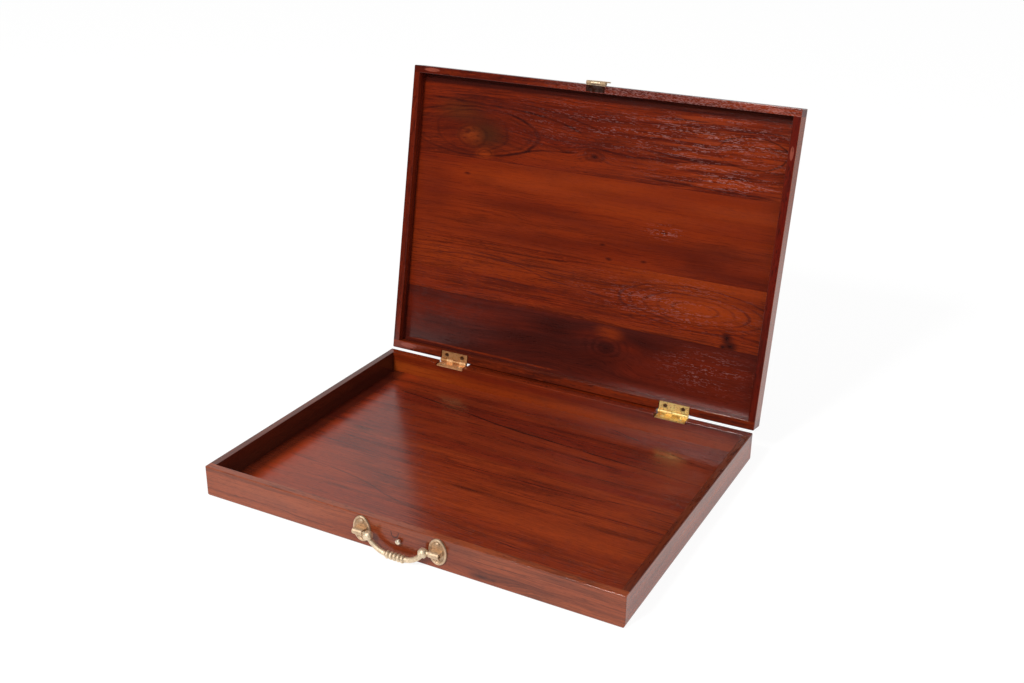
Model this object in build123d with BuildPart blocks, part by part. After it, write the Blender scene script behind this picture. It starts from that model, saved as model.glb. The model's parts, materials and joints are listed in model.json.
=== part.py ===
from build123d import *
import os
from math import atan, cos, radians, degrees, sin

# A shallow two-part wooden box, 450 mm wide, with its lid standing open on two hinges.
# Millimetres. +X is the right-hand side seen from the front, +Y is the back, +Z is up.
# The origin is the middle of the underside. Heights and depths of the lid are given as
# on the closed box, and on_lid() carries a plane of the closed box round to the open lid.

# ---- Box -------------------------------------------------------------------------------
box_width = 450.0
box_depth = 333.0
base_height = 33.0
lid_height = 23.5
rim_gap = 0.5  # between the two rims when closed
front_thickness = 8.0
back_thickness = 9.5
end_thickness = 8.0
bottom_thickness = 9.5
top_thickness = 11.5
end_round = 4.5  # edges of the underside and of the lid's top, along the ends
long_round = 2.5  # the same, along the front and the back
corner_ease = 1.2  # upright corners
rim_ease = 0.7  # both edges of each rim
bottom_seams = (-30.5, 17.5)  # glue lines of the bottom, measured from the middle to the back
top_seams = (-70.5, 21.5, 89.5)  # glue lines of the lid's top
lid_open_angle = 100.7

# ---- Hinges ----------------------------------------------------------------------------
hinge_length = 34.0
hinge_spacing = 275.0  # from one hinge's middle to the other's
hinge_middle = -2.0  # halfway between the hinges
hinge_standoff = 1.4  # pin axis behind the back face
hinge_pin_radius = 1.0
pin_play = 0.05  # radial, between any pin and its bore
knuckle_radius = 2.3
knuckle_gap = 0.2  # between neighbouring knuckles
knuckle_clearance = 0.3  # between a knuckle and the other leaf
leaf_thickness = 1.5
leaf_inset = 0.3  # leaf's edge back from the inner face of the wall
mortise_play = 1.0  # at each end of a hinge
barrel_relief = 0.5  # round the barrel in the lid's back wall
hinge_screw_spacing = 20.5

# ---- Countersunk screws ----------------------------------------------------------------
hinge_head_radius = 2.3
hinge_shank_radius = 1.1
hinge_screw_length = 9.0
hasp_head_radius = 1.7
hasp_shank_radius = 0.9
hasp_screw_length = 7.0
base_head_sink = 0.1  # heads below the face of the base leaf
lid_head_sink = 0.6  # heads below the face of the lid leaf
hasp_head_sink = 0.4  # heads below the face of the hasp's leaf
screw_play = 0.05
slot_width = 0.7
slot_depth = 0.7

# ---- Stop batten behind the base -------------------------------------------------------
batten_thickness = 10.5
batten_height = 12.0
batten_end_gap = 2.0  # to each hinge
batten_round = 0.8
stop_clearance = 0.1  # lid's back face to the batten when fully open

# ---- Hasp on the lid's front -----------------------------------------------------------
hasp_x = 2.0
hasp_width = 22.0
hasp_straight = 12.0  # straight sides of the flap, from the pin
hasp_thickness = 1.2
hasp_barrel_radius = 2.1
hasp_pin_radius = 0.9
hasp_face_gap = 0.3  # flap to the base's front when closed
hasp_middle_knuckle = 10.6
hasp_leaf_reach = 7.2  # leaf's width across the rim
hasp_screw_spacing = 12.0
hasp_hole_clearance = 0.4  # round the stud's head
hasp_tip_land = 1.5  # metal between the hole and the tip
lip_width = 7.0
lip_clearance = 0.3  # lip to the lid's front when folded back

# ---- Catch stud on the base's front ----------------------------------------------------
stud_height = 17.6  # above the underside
stud_head_radius = 2.8
stud_head_thickness = 2.1
stud_neck_radius = 1.5
stud_neck_length = 1.9
stud_shank_length = 6.0
stud_slot = 0.9

# ---- Handle on the base's front --------------------------------------------------------
handle_x = 2.5
handle_z = 19.1
plate_spacing = 81.6
plate_width = 19.0
plate_height = 26.6
plate_thickness = 2.2
plate_ease = 0.8  # outer edge of the plate's border
plate_border = 2.3
plate_field_thickness = 1.4
socket_length = 11.0
socket_radius = 3.1
socket_web = 5.0
pivot_standoff = 7.0  # pin axis in front of the base
plate_screw_offset = 8.0
plate_head_radius = 2.4
plate_head_height = 1.3
plate_shank_radius = 1.1
plate_screw_depth = 6.0  # into the wall
bail_pin_radius = 1.75
bail_pin_length = 11.0
bail_end_play = 1.5  # collar to socket, each side of the middle
bail_rest_gap = 0.9  # the bail has slid towards the left socket
bail_drop = 14.5  # pin axis to the middle of the grip
bail_flat = 15.0
grip_radius = 2.9
bail_end_radius = 2.3
collar_length = 8.5
collar_size = 8.0
collar_chamfer = 1.9
collar_drop = 1.2  # collar's middle below the pin axis
ring_count = 5
ring_pitch = 4.0
ring_radius = 4.1
ring_width = 2.8

# ---- Places worked out from the sizes --------------------------------------------------
front_y = -box_depth / 2
back_y = box_depth / 2
inner_front = front_y + front_thickness
inner_back = back_y - back_thickness
inner_width = box_width - 2 * end_thickness
lid_rim = base_height + rim_gap
hinge_y = back_y + hinge_standoff
hinge_z = base_height + rim_gap / 2
hinge_places = {"left": hinge_middle - hinge_spacing / 2, "right": hinge_middle + hinge_spacing / 2}
base_leaf_top = hinge_z - knuckle_radius - knuckle_clearance
hasp_pin_y = front_y - hasp_face_gap - hasp_barrel_radius
hasp_pin_z = lid_rim + hasp_thickness / 2
opened = Location((0, hinge_y, hinge_z), (-lid_open_angle, 0, 0)) * Location((0, -hinge_y, -hinge_z))


def on_lid(plane):
    """The plane of the closed box, carried round the hinge pins to the open lid."""
    return Plane(opened * plane.location)


def save(piece, name):
    """Label a finished piece and write it as its own STEP file."""
    piece.part.label = name
    export_step(piece.part, f"parts/{name}.step")


os.makedirs("parts", exist_ok=True)

# The base's rim plane looks down into the wood, the lid's looks up from its rim.
base_rim_plane = Plane((0, 0, base_height), x_dir=(1, 0, 0), z_dir=(0, 0, -1))
lid_rim_plane = on_lid(Plane.XY.offset(lid_rim))


def half_box(rim, height, panel, back):
    """Half of the box in one piece, hollowed from its rim.

    rim is the plane of the rim, facing into the wood; back is the sign of its Y towards
    the hinges.
    """
    into_wood = Axis(rim.origin, rim.z_dir)
    from_end = Plane(rim.origin, x_dir=rim.y_dir, z_dir=rim.x_dir)
    from_back = Plane(rim.origin, x_dir=rim.x_dir, z_dir=-rim.y_dir)
    with BuildPart() as half:
        with BuildSketch(rim):
            RectangleRounded(box_width, box_depth, corner_ease)
        extrude(amount=height)
        # the outlines seen from the end and from the back, with their far corners rounded
        for side, span, round_ in ((from_end, box_depth, long_round), (from_back, box_width, end_round)):
            with BuildSketch(side) as outline:
                Rectangle(span, height, align=(Align.CENTER, Align.MIN))
                fillet(outline.vertices().group_by(Axis.Y)[-1], round_)
            extrude(amount=box_width, both=True, mode=Mode.INTERSECT)
        with BuildSketch(rim):
            with Locations((0, back * (front_thickness - back_thickness) / 2)):
                Rectangle(inner_width, inner_back - inner_front)
        extrude(amount=height - panel, mode=Mode.SUBTRACT)
        fillet(half.faces().sort_by(into_wood)[0].edges(), rim_ease)
    return half.part


def strip(half, plane, low, high, depth):
    """What one upright slab takes out of a half box.

    low and high are opposite corners of the slab on the plane, depth is its height.
    """
    with BuildPart() as piece:
        add(half)
        with BuildSketch(plane):
            with Locations(((low[0] + high[0]) / 2, (low[1] + high[1]) / 2)):
                Rectangle(high[0] - low[0], high[1] - low[1])
        extrude(amount=depth, mode=Mode.INTERSECT)
    return piece.part


def walls_and_boards(half, rim, height, panel, back, seams):
    """Cut a half box into its front, back and end walls and the boards between them."""
    half_width = box_width / 2
    half_inside = inner_width / 2
    front, inner_near = back * front_y, back * inner_front
    inner_far, rear = back * inner_back, back * back_y

    def slab(x_from, x_to, y_from, y_to, plane=rim, depth=height):
        return strip(half, plane, (x_from, min(y_from, y_to)), (x_to, max(y_from, y_to)), depth)

    walls = {
        "front_wall": slab(-half_width, half_width, front, inner_near),
        "back_wall": slab(-half_width, half_width, inner_far, rear),
        "left_wall": slab(-half_width, -half_inside, inner_near, inner_far),
        "right_wall": slab(half_inside, half_width, inner_near, inner_far),
    }
    lines = [inner_front, *seams, inner_back]
    floor = rim.offset(height - panel)
    boards = [
        slab(-half_inside, half_inside, back * near, back * far, floor, panel)
        for near, far in zip(lines, lines[1:])
    ]
    return walls, boards


def screw_body(face, head_radius, shank_radius, length, play=0.0, sink=0.0):
    """A countersunk screw driven along the plane's Z, or with play the hole for it."""
    with BuildPart() as body:
        with BuildSketch(face):
            Circle(head_radius + sink + play)
        extrude(amount=head_radius + sink - shank_radius, taper=45)
        with BuildSketch(face):
            Circle(shank_radius + play)
        extrude(amount=length + play)
    return body.part


def screw(face, head_radius, shank_radius, length):
    """A slotted countersunk screw with its head on the plane."""
    with BuildPart() as body:
        add(screw_body(face, head_radius, shank_radius, length))
        with BuildSketch(face):
            Rectangle(2 * head_radius, slot_width)
        extrude(amount=slot_depth, mode=Mode.SUBTRACT)
    return body.part


# ---- Hinge sections, on the plane across the pins with X to the back and Y up ----------
def hinge_plane(x, lid):
    plane = Plane.YZ.offset(x)
    return on_lid(plane) if lid else plane


def base_screw_faces():
    """Planes of the base leaf screws' holes: on the leaf, facing down."""
    y = (inner_back + back_y) / 2
    return [
        Plane((x + dx, y, base_leaf_top), x_dir=(1, 0, 0), z_dir=(0, 0, -1))
        for x in hinge_places.values()
        for dx in (-hinge_screw_spacing / 2, hinge_screw_spacing / 2)
    ]


def lid_screw_faces():
    """Planes of the lid leaf screws' holes: on the leaf, facing into the lid."""
    y = (inner_back + back_y) / 2
    return [
        on_lid(Plane((x + dx, y, lid_rim), x_dir=(1, 0, 0), z_dir=(0, 0, 1)))
        for x in hinge_places.values()
        for dx in (-hinge_screw_spacing / 2, hinge_screw_spacing / 2)
    ]


def hinge_hole(face, sink):
    length = hinge_screw_length + sink
    return screw_body(face, hinge_head_radius, hinge_shank_radius, length, screw_play, sink)


def hasp_faces():
    """Planes of the hasp screws' holes: on the hasp's leaf, facing into the lid."""
    y = front_y + hasp_leaf_reach / 2 + hasp_head_radius / 4
    return [
        on_lid(Plane((hasp_x + dx, y, lid_rim), x_dir=(1, 0, 0), z_dir=(0, 0, 1)))
        for dx in (-hasp_screw_spacing / 2, hasp_screw_spacing / 2)
    ]


def hasp_hole(face):
    length = hasp_screw_length + hasp_head_sink
    return screw_body(face, hasp_head_radius, hasp_shank_radius, length, screw_play, hasp_head_sink)


# ---- Wooden walls and boards -----------------------------------------------------------
base_form = half_box(base_rim_plane, base_height, bottom_thickness, -1)
base_walls, bottom_boards = walls_and_boards(
    base_form, base_rim_plane, base_height, bottom_thickness, -1, bottom_seams
)
lid_form = half_box(lid_rim_plane, lid_height, top_thickness, 1)
lid_walls, top_boards = walls_and_boards(lid_form, lid_rim_plane, lid_height, top_thickness, 1, top_seams)

plate_places = (handle_x - plate_spacing / 2, handle_x + plate_spacing / 2)
plate_screw_places = [
    (x, handle_z + dz)
    for x in plate_places
    for dz in (-plate_screw_offset, plate_screw_offset)
]
# The front face, seen from the front: X to the right, Y up, Z out of the wood.
front_plane = Plane((0, front_y, 0), x_dir=(1, 0, 0), z_dir=(0, -1, 0))

with BuildPart() as base_front_wall:
    add(base_walls["front_wall"])
    with BuildSketch(front_plane):
        with Locations(*plate_screw_places):
            Circle(plate_shank_radius + screw_play)
    extrude(amount=-(plate_screw_depth + screw_play), mode=Mode.SUBTRACT)
    with BuildSketch(front_plane):
        with Locations((hasp_x, stud_height)):
            Circle(stud_neck_radius + screw_play)
    extrude(amount=-(stud_shank_length + screw_play), mode=Mode.SUBTRACT)
save(base_front_wall, "base_front_wall")

mortise_length = hinge_length + 2 * mortise_play
with BuildPart() as base_back_wall:
    add(base_walls["back_wall"])
    for x in hinge_places.values():
        with BuildSketch(hinge_plane(x, lid=False)):
            with Locations(((inner_back + back_y) / 2, base_height)):
                Rectangle(back_thickness, 2 * (base_height - base_leaf_top + leaf_thickness))
        extrude(amount=mortise_length / 2, both=True, mode=Mode.SUBTRACT)
    for face in base_screw_faces():
        add(hinge_hole(face, base_head_sink), mode=Mode.SUBTRACT)
save(base_back_wall, "base_back_wall")

with BuildPart() as base_left_wall:
    add(base_walls["left_wall"])
save(base_left_wall, "base_left_wall")

with BuildPart() as base_right_wall:
    add(base_walls["right_wall"])
save(base_right_wall, "base_right_wall")

for number, board in enumerate(bottom_boards, start=1):
    with BuildPart() as bottom_board:
        add(board)
    save(bottom_board, f"bottom_board_{number}")

with BuildPart() as lid_front_wall:
    add(lid_walls["front_wall"])
    with BuildSketch(lid_rim_plane):
        with Locations((hasp_x, front_y)):
            Rectangle(hasp_width, 2 * hasp_leaf_reach)
    extrude(amount=hasp_thickness, mode=Mode.SUBTRACT)
    for face in hasp_faces():
        add(hasp_hole(face), mode=Mode.SUBTRACT)
save(lid_front_wall, "lid_front_wall")

with BuildPart() as lid_back_wall:
    add(lid_walls["back_wall"])
    for x in hinge_places.values():
        with BuildSketch(hinge_plane(x, lid=True)):
            with Locations(((inner_back + back_y) / 2, lid_rim)):
                Rectangle(back_thickness, 2 * leaf_thickness)
            with Locations((hinge_y, hinge_z)):
                Circle(knuckle_radius + barrel_relief)
        extrude(amount=mortise_length / 2, both=True, mode=Mode.SUBTRACT)
    for face in lid_screw_faces():
        add(hinge_hole(face, lid_head_sink), mode=Mode.SUBTRACT)
save(lid_back_wall, "lid_back_wall")

with BuildPart() as lid_left_wall:
    add(lid_walls["left_wall"])
save(lid_left_wall, "lid_left_wall")

with BuildPart() as lid_right_wall:
    add(lid_walls["right_wall"])
save(lid_right_wall, "lid_right_wall")

for number, board in enumerate(top_boards, start=1):
    with BuildPart() as lid_board:
        add(board)
    save(lid_board, f"lid_board_{number}")

# ---- Stop batten -----------------------------------------------------------------------
# The open lid's back face lies along the rear upper edge of the batten, whose height
# follows from the opening angle.
edge_run = batten_thickness - batten_round - hinge_standoff
edge_fall = hinge_standoff - batten_round - stop_clearance + edge_run * cos(radians(lid_open_angle))
batten_top = hinge_z + edge_fall / sin(radians(lid_open_angle)) + batten_round
batten_length = hinge_spacing - mortise_length - 2 * batten_end_gap
with BuildPart() as stop_batten:
    with BuildSketch(Plane.YZ.offset(hinge_middle)):
        with Locations((back_y, batten_top - batten_height)):
            Rectangle(batten_thickness, batten_height, align=(Align.MIN, Align.MIN))
    extrude(amount=batten_length / 2, both=True)
    rear = stop_batten.faces().sort_by(Axis.Y)[-1]
    fillet(rear.edges(), batten_round)
save(stop_batten, "stop_batten")

# ---- Hinges ----------------------------------------------------------------------------
# Four knuckles: the lid has the first and third from the left, the base the others.
knuckle_length = (hinge_length - 3 * knuckle_gap) / 4
knuckle_pitch = knuckle_length + knuckle_gap
lid_knuckles = (0, 2)
base_knuckles = (1, 3)


def knuckle_start(x, number):
    return x - hinge_length / 2 + number * knuckle_pitch


def hinge_leaf(x, lid):
    """One leaf of a hinge with its knuckles, the pin's bore and the screw holes."""
    own, other = (lid_knuckles, base_knuckles) if lid else (base_knuckles, lid_knuckles)
    low = lid_rim if lid else base_leaf_top - leaf_thickness
    sink = lid_head_sink if lid else base_head_sink
    with BuildPart() as leaf:
        with BuildSketch(hinge_plane(x, lid)):
            with Locations((inner_back + leaf_inset, low)):
                Rectangle(hinge_y - inner_back - leaf_inset, leaf_thickness, align=(Align.MIN, Align.MIN))
        extrude(amount=hinge_length / 2, both=True)
        for number in other:
            with BuildSketch(hinge_plane(knuckle_start(x, number) - knuckle_gap, lid)):
                with Locations((hinge_y, hinge_z)):
                    Circle(knuckle_radius + knuckle_clearance)
            extrude(amount=knuckle_length + 2 * knuckle_gap, mode=Mode.SUBTRACT)
        for number in own:
            with BuildSketch(hinge_plane(knuckle_start(x, number), lid)):
                with Locations((hinge_y, hinge_z)):
                    Circle(knuckle_radius)
                if not lid:
                    with Locations((hinge_y - knuckle_radius, low)):
                        Rectangle(knuckle_radius, hinge_z - low, align=(Align.MIN, Align.MIN))
            extrude(amount=knuckle_length)
        with BuildSketch(hinge_plane(x, lid)):
            with Locations((hinge_y, hinge_z)):
                Circle(hinge_pin_radius + pin_play)
        extrude(amount=hinge_length, both=True, mode=Mode.SUBTRACT)
        for face in lid_screw_faces() if lid else base_screw_faces():
            if abs(face.origin.X - x) < hinge_length / 2:
                add(hinge_hole(face, sink), mode=Mode.SUBTRACT)
    return leaf


for side, x in hinge_places.items():
    save(hinge_leaf(x, lid=False), f"{side}_hinge_base_leaf")
    save(hinge_leaf(x, lid=True), f"{side}_hinge_lid_leaf")
    with BuildPart() as hinge_pin:
        with BuildSketch(Plane.YZ.offset(x)):
            with Locations((hinge_y, hinge_z)):
                Circle(hinge_pin_radius)
        extrude(amount=hinge_length / 2, both=True)
    save(hinge_pin, f"{side}_hinge_pin")

with BuildPart() as hinge_base_screws:
    for face in base_screw_faces():
        add(screw(face.offset(base_head_sink), hinge_head_radius, hinge_shank_radius, hinge_screw_length))
save(hinge_base_screws, "hinge_base_screws")

with BuildPart() as hinge_lid_screws:
    for face in lid_screw_faces():
        add(screw(face.offset(lid_head_sink), hinge_head_radius, hinge_shank_radius, hinge_screw_length))
save(hinge_lid_screws, "hinge_lid_screws")


# ---- Hasp ------------------------------------------------------------------------------
def hasp_plane(x):
    """Across the hasp's pin, X to the back and Y up."""
    return on_lid(Plane.YZ.offset(x))


hasp_left = hasp_x - hasp_width / 2
side_knuckle = (hasp_width - hasp_middle_knuckle) / 2 - knuckle_gap
side_knuckle_places = (hasp_left, hasp_x + hasp_width / 2 - side_knuckle)
hasp_clear_radius = hasp_barrel_radius + knuckle_clearance

with BuildPart() as hasp_leaf:
    with BuildSketch(hasp_plane(hasp_x)):
        with Locations((hasp_pin_y, lid_rim)):
            Rectangle(front_y + hasp_leaf_reach - hasp_pin_y, hasp_thickness, align=(Align.MIN, Align.MIN))
    extrude(amount=hasp_width / 2, both=True)
    with BuildSketch(hasp_plane(hasp_x)):
        with Locations((hasp_pin_y, hasp_pin_z)):
            Circle(hasp_clear_radius)
    extrude(amount=hasp_middle_knuckle / 2 + knuckle_gap, both=True, mode=Mode.SUBTRACT)
    for start in side_knuckle_places:
        with BuildSketch(hasp_plane(start)):
            with Locations((hasp_pin_y, hasp_pin_z)):
                Circle(hasp_barrel_radius)
        extrude(amount=side_knuckle)
    with BuildSketch(hasp_plane(hasp_x)):
        with Locations((hasp_pin_y, hasp_pin_z)):
            Circle(hasp_pin_radius + pin_play)
    extrude(amount=hasp_width, both=True, mode=Mode.SUBTRACT)
    for face in hasp_faces():
        add(hasp_hole(face), mode=Mode.SUBTRACT)
save(hasp_leaf, "hasp_leaf")

with BuildPart() as hasp_pin:
    with BuildSketch(hasp_plane(hasp_x)):
        with Locations((hasp_pin_y, hasp_pin_z)):
            Circle(hasp_pin_radius)
    extrude(amount=hasp_width / 2, both=True)
save(hasp_pin, "hasp_pin")

# The flap lies folded back over the lid's front, its plate on the far side of the barrel.
# Its own plane looks at its outer face, X to the right and Y from the pin to the tip.
hole_distance = hasp_pin_z - stud_height
hole_radius = stud_head_radius + hasp_hole_clearance
hasp_length = hole_distance + hole_radius + hasp_tip_land
plate_near = hasp_pin_y - hasp_barrel_radius + hasp_thickness
flap_plane = on_lid(Plane((hasp_x, plate_near, hasp_pin_z), x_dir=(1, 0, 0), z_dir=(0, -1, 0)))
lip_height = front_y - lip_clearance - plate_near
with BuildPart() as hasp_flap:
    with BuildSketch(flap_plane):
        with BuildLine():
            Polyline((-hasp_width / 2, hasp_straight), (-hasp_width / 2, 0), (hasp_width / 2, 0),
                     (hasp_width / 2, hasp_straight))
            EllipticalCenterArc((0, hasp_straight), hasp_width / 2, hasp_length - hasp_straight,
                                start_angle=0, arc_size=180)
        make_face()
        with Locations((0, hole_distance)):
            Circle(hole_radius, mode=Mode.SUBTRACT)
    extrude(amount=hasp_thickness)
    # room for the leaf's side knuckles
    for start in side_knuckle_places:
        with BuildSketch(hasp_plane(start - knuckle_gap)):
            with Locations((hasp_pin_y, hasp_pin_z)):
                Circle(hasp_clear_radius)
        extrude(amount=side_knuckle + 2 * knuckle_gap, mode=Mode.SUBTRACT)
    with BuildSketch(hasp_plane(hasp_x)):
        with Locations((hasp_pin_y, hasp_pin_z)):
            Circle(hasp_barrel_radius)
    extrude(amount=hasp_middle_knuckle / 2, both=True)
    with BuildSketch(hasp_plane(hasp_x)):
        with Locations((hasp_pin_y, hasp_pin_z)):
            Circle(hasp_pin_radius + pin_play)
    extrude(amount=hasp_width, both=True, mode=Mode.SUBTRACT)
    # lip turned up at the tip, to lift the flap by
    with BuildSketch(flap_plane):
        with Locations((0, hasp_length)):
            Rectangle(lip_width, hasp_thickness, align=(Align.CENTER, Align.MAX))
    extrude(amount=-lip_height)
save(hasp_flap, "hasp_flap")

with BuildPart() as hasp_screws:
    for face in hasp_faces():
        add(screw(face.offset(hasp_head_sink), hasp_head_radius, hasp_shank_radius, hasp_screw_length))
save(hasp_screws, "hasp_screws")

# ---- Catch stud ------------------------------------------------------------------------
with BuildPart() as catch_stud:
    with BuildSketch(front_plane.offset(-stud_shank_length)):
        with Locations((hasp_x, stud_height)):
            Circle(stud_neck_radius)
    extrude(amount=stud_shank_length + stud_neck_length)
    with BuildSketch(front_plane.offset(stud_neck_length)):
        with Locations((hasp_x, stud_height)):
            Circle(stud_head_radius)
    extrude(amount=stud_head_thickness)
    fillet(catch_stud.faces().sort_by(Axis.Y)[0].edges(), stud_head_thickness * 0.8)
    with BuildSketch(front_plane.offset(stud_neck_length + stud_head_thickness)):
        with Locations((hasp_x, stud_height)):
            Rectangle(stud_slot, 2 * stud_head_radius)
    extrude(amount=-stud_slot, mode=Mode.SUBTRACT)
save(catch_stud, "catch_stud")

# ---- Handle plates ---------------------------------------------------------------------
pivot_y = front_y - pivot_standoff


def handle_plate(x):
    """Oval backplate with a raised border, a socket across it and two screw holes."""
    with BuildPart() as plate:
        with BuildSketch(front_plane):
            with Locations((x, handle_z)):
                Ellipse(plate_width / 2, plate_height / 2)
        extrude(amount=plate_thickness)
        fillet(plate.faces().sort_by(Axis.Y)[0].edges(), plate_ease)
        with BuildSketch(front_plane.offset(plate_field_thickness)):
            with Locations((x, handle_z)):
                Ellipse(plate_width / 2 - plate_border, plate_height / 2 - plate_border)
        extrude(amount=plate_thickness, mode=Mode.SUBTRACT)
        with BuildSketch(Plane.YZ.offset(x)):
            with Locations((pivot_y, handle_z)):
                Circle(socket_radius)
            with Locations((pivot_y, handle_z)):
                Rectangle(front_y - pivot_y, socket_web, align=(Align.MIN, Align.CENTER))
        extrude(amount=socket_length / 2, both=True)
        with BuildSketch(Plane.YZ.offset(x)):
            with Locations((pivot_y, handle_z)):
                Circle(bail_pin_radius + pin_play)
        extrude(amount=socket_length, both=True, mode=Mode.SUBTRACT)
        with BuildSketch(front_plane):
            with Locations((x, handle_z - plate_screw_offset), (x, handle_z + plate_screw_offset)):
                Circle(plate_shank_radius + screw_play)
        extrude(amount=plate_thickness, mode=Mode.SUBTRACT)
    return plate


save(handle_plate(plate_places[0]), "handle_plate_left")
save(handle_plate(plate_places[1]), "handle_plate_right")

with BuildPart() as handle_plate_screws:
    for place in plate_screw_places:
        with BuildSketch(front_plane.offset(plate_field_thickness)):
            with Locations(place):
                Circle(plate_head_radius)
        extrude(amount=plate_head_height)
    fillet(handle_plate_screws.edges().group_by(Axis.Y)[0], plate_head_height * 0.8)
    with BuildSketch(front_plane.offset(plate_field_thickness)):
        with Locations(*plate_screw_places):
            Circle(plate_shank_radius)
    extrude(amount=-(plate_field_thickness + plate_screw_depth))
    with BuildSketch(front_plane.offset(plate_field_thickness + plate_head_height)):
        with Locations(*plate_screw_places):
            Rectangle(2 * plate_head_radius, slot_width)
    extrude(amount=-slot_depth, mode=Mode.SUBTRACT)
save(handle_plate_screws, "handle_plate_screws")

# ---- Bail ------------------------------------------------------------------------------
# It hangs from its two pins: a collar at each end, a bend down to a short straight grip,
# and turned rings round the middle.
socket_inner = plate_spacing / 2 - socket_length / 2
bail_x = handle_x - bail_end_play + bail_rest_gap
collar_face = socket_inner - bail_end_play
bend_end = collar_face - collar_length / 2
bend_run = bend_end - bail_flat / 2
bend_rise = bail_drop - collar_drop
bend_angle = 2 * degrees(atan(bend_rise / bend_run))
bend_radius = bend_run / sin(radians(bend_angle))
# The bail's own plane, seen from the front: X to the right, Y up, from the pin axis.
bail_plane = Plane((bail_x, pivot_y, handle_z), x_dir=(1, 0, 0), z_dir=(0, -1, 0))

with BuildPart() as handle_bail:
    with BuildLine(bail_plane) as grip_line:
        Line((-bail_flat / 2, -bail_drop), (bail_flat / 2, -bail_drop))
    with BuildSketch(Plane(grip_line.line @ 0, z_dir=grip_line.line % 0)):
        Circle(grip_radius)
    extrude(amount=bail_flat)
    for hand in (-1, 1):
        with BuildLine(bail_plane) as bend:
            JernArc((hand * bail_flat / 2, -bail_drop), (hand, 0), bend_radius, hand * bend_angle)
        with BuildSketch(Plane(bend.line @ 0, z_dir=bend.line % 0)):
            Circle(grip_radius)
        with BuildSketch(Plane(bend.line @ 1, z_dir=bend.line % 1)):
            Circle(bail_end_radius)
        sweep(path=bend.line, multisection=True)
    # rings turned as rounded beads that stand out of the grip
    with BuildSketch(bail_plane):
        for number in range(ring_count):
            with Locations(((number - (ring_count - 1) / 2) * ring_pitch, grip_radius - bail_drop)):
                Ellipse(ring_width / 2, ring_radius - grip_radius)
    revolve(axis=Axis(grip_line.line @ 0, grip_line.line % 0))
    for hand in (-1, 1):
        with BuildPart(mode=Mode.PRIVATE) as collar:
            with BuildSketch(bail_plane):
                with Locations((hand * (collar_face - collar_length / 2), -collar_drop)):
                    Rectangle(collar_length, collar_size)
            extrude(amount=collar_size / 2, both=True)
            chamfer(collar.edges(), collar_chamfer)
        add(collar.part)
        # the pin, rooted in the collar
        with BuildSketch(Plane.YZ.offset(bail_x + hand * bend_end)):
            with Locations((pivot_y, handle_z)):
                Circle(bail_pin_radius)
        extrude(amount=hand * (collar_length / 2 + bail_pin_length))
save(handle_bail, "handle_bail")
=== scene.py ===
# Looks of a shallow varnished box with brass fittings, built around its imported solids.
# The file is laid out as an add-on and run as a script. Lengths are metres in the frame's
# own axes; the wood's patterns are laid out in millimetres on the closed box.

import json
import math
from collections import namedtuple

import bmesh
import bpy
from bpy.props import FloatProperty, FloatVectorProperty, IntProperty, PointerProperty
from mathutils import Euler, Matrix, Vector


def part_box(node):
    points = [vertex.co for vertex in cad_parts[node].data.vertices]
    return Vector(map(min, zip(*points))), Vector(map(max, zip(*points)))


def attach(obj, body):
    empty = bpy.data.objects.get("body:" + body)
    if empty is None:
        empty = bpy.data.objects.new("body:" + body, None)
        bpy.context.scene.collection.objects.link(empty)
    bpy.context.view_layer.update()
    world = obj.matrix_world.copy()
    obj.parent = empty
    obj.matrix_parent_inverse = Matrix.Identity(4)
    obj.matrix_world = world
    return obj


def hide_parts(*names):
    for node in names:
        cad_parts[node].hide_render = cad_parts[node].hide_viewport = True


bl_info = {
    "name": "Ditty Box Looks",
    "version": (1, 0, 0),
    "blender": (4, 5, 0),
    "location": "3D View > Sidebar > Ditty Box",
    "description": "Varnished boards, brass fittings and a plain studio for an open wooden box",
    "category": "Object",
}

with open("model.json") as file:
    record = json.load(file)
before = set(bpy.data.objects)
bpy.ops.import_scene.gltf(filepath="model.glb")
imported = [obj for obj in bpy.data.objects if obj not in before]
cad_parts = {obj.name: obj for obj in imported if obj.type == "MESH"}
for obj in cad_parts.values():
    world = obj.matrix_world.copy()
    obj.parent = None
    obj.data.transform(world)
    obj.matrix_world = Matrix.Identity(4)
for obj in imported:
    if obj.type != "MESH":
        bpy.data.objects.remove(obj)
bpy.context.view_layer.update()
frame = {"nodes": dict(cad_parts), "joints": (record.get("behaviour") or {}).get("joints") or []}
nodes = frame["nodes"]
joints = {joint["name"]: joint for joint in frame["joints"]}

MM = 0.001
lid_open = math.radians(-joints["lid_hinge"]["range_deg"][0])
hinge_point = Vector(joints["lid_hinge"]["pos_m"])
bail_point = Vector(joints["bail_pivot"]["pos_m"])
front_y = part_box("base_front_wall")[0].y
# faces and rims of the closed box, in the wood's millimetres
inner_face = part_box("base_right_wall")[0].x / MM
outer_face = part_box("lid_right_wall")[1].x / MM
base_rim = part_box("base_right_wall")[1].z / MM
lid_rim = 2 * hinge_point.z / MM - base_rim


# ---- Sizes and colours a user would change ---------------------------------------------
def length(name, description, default):
    return FloatProperty(name=name, description=description, default=default, unit="LENGTH", precision=4)


def place(name, description, default):
    return FloatVectorProperty(
        name=name, description=description, default=default, size=3, subtype="XYZ", unit="LENGTH"
    )


def angle(name, description, default):
    return FloatProperty(name=name, description=description, default=default, subtype="ANGLE")


def share(name, description, default):
    return FloatProperty(name=name, description=description, default=default, min=0, max=1, subtype="FACTOR")


def colour(name, description, default):
    return FloatVectorProperty(
        name=name, description=description, default=default, size=3, min=0, max=1, subtype="COLOR"
    )


def number(name, description, default):
    return FloatProperty(name=name, description=description, default=default)


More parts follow.
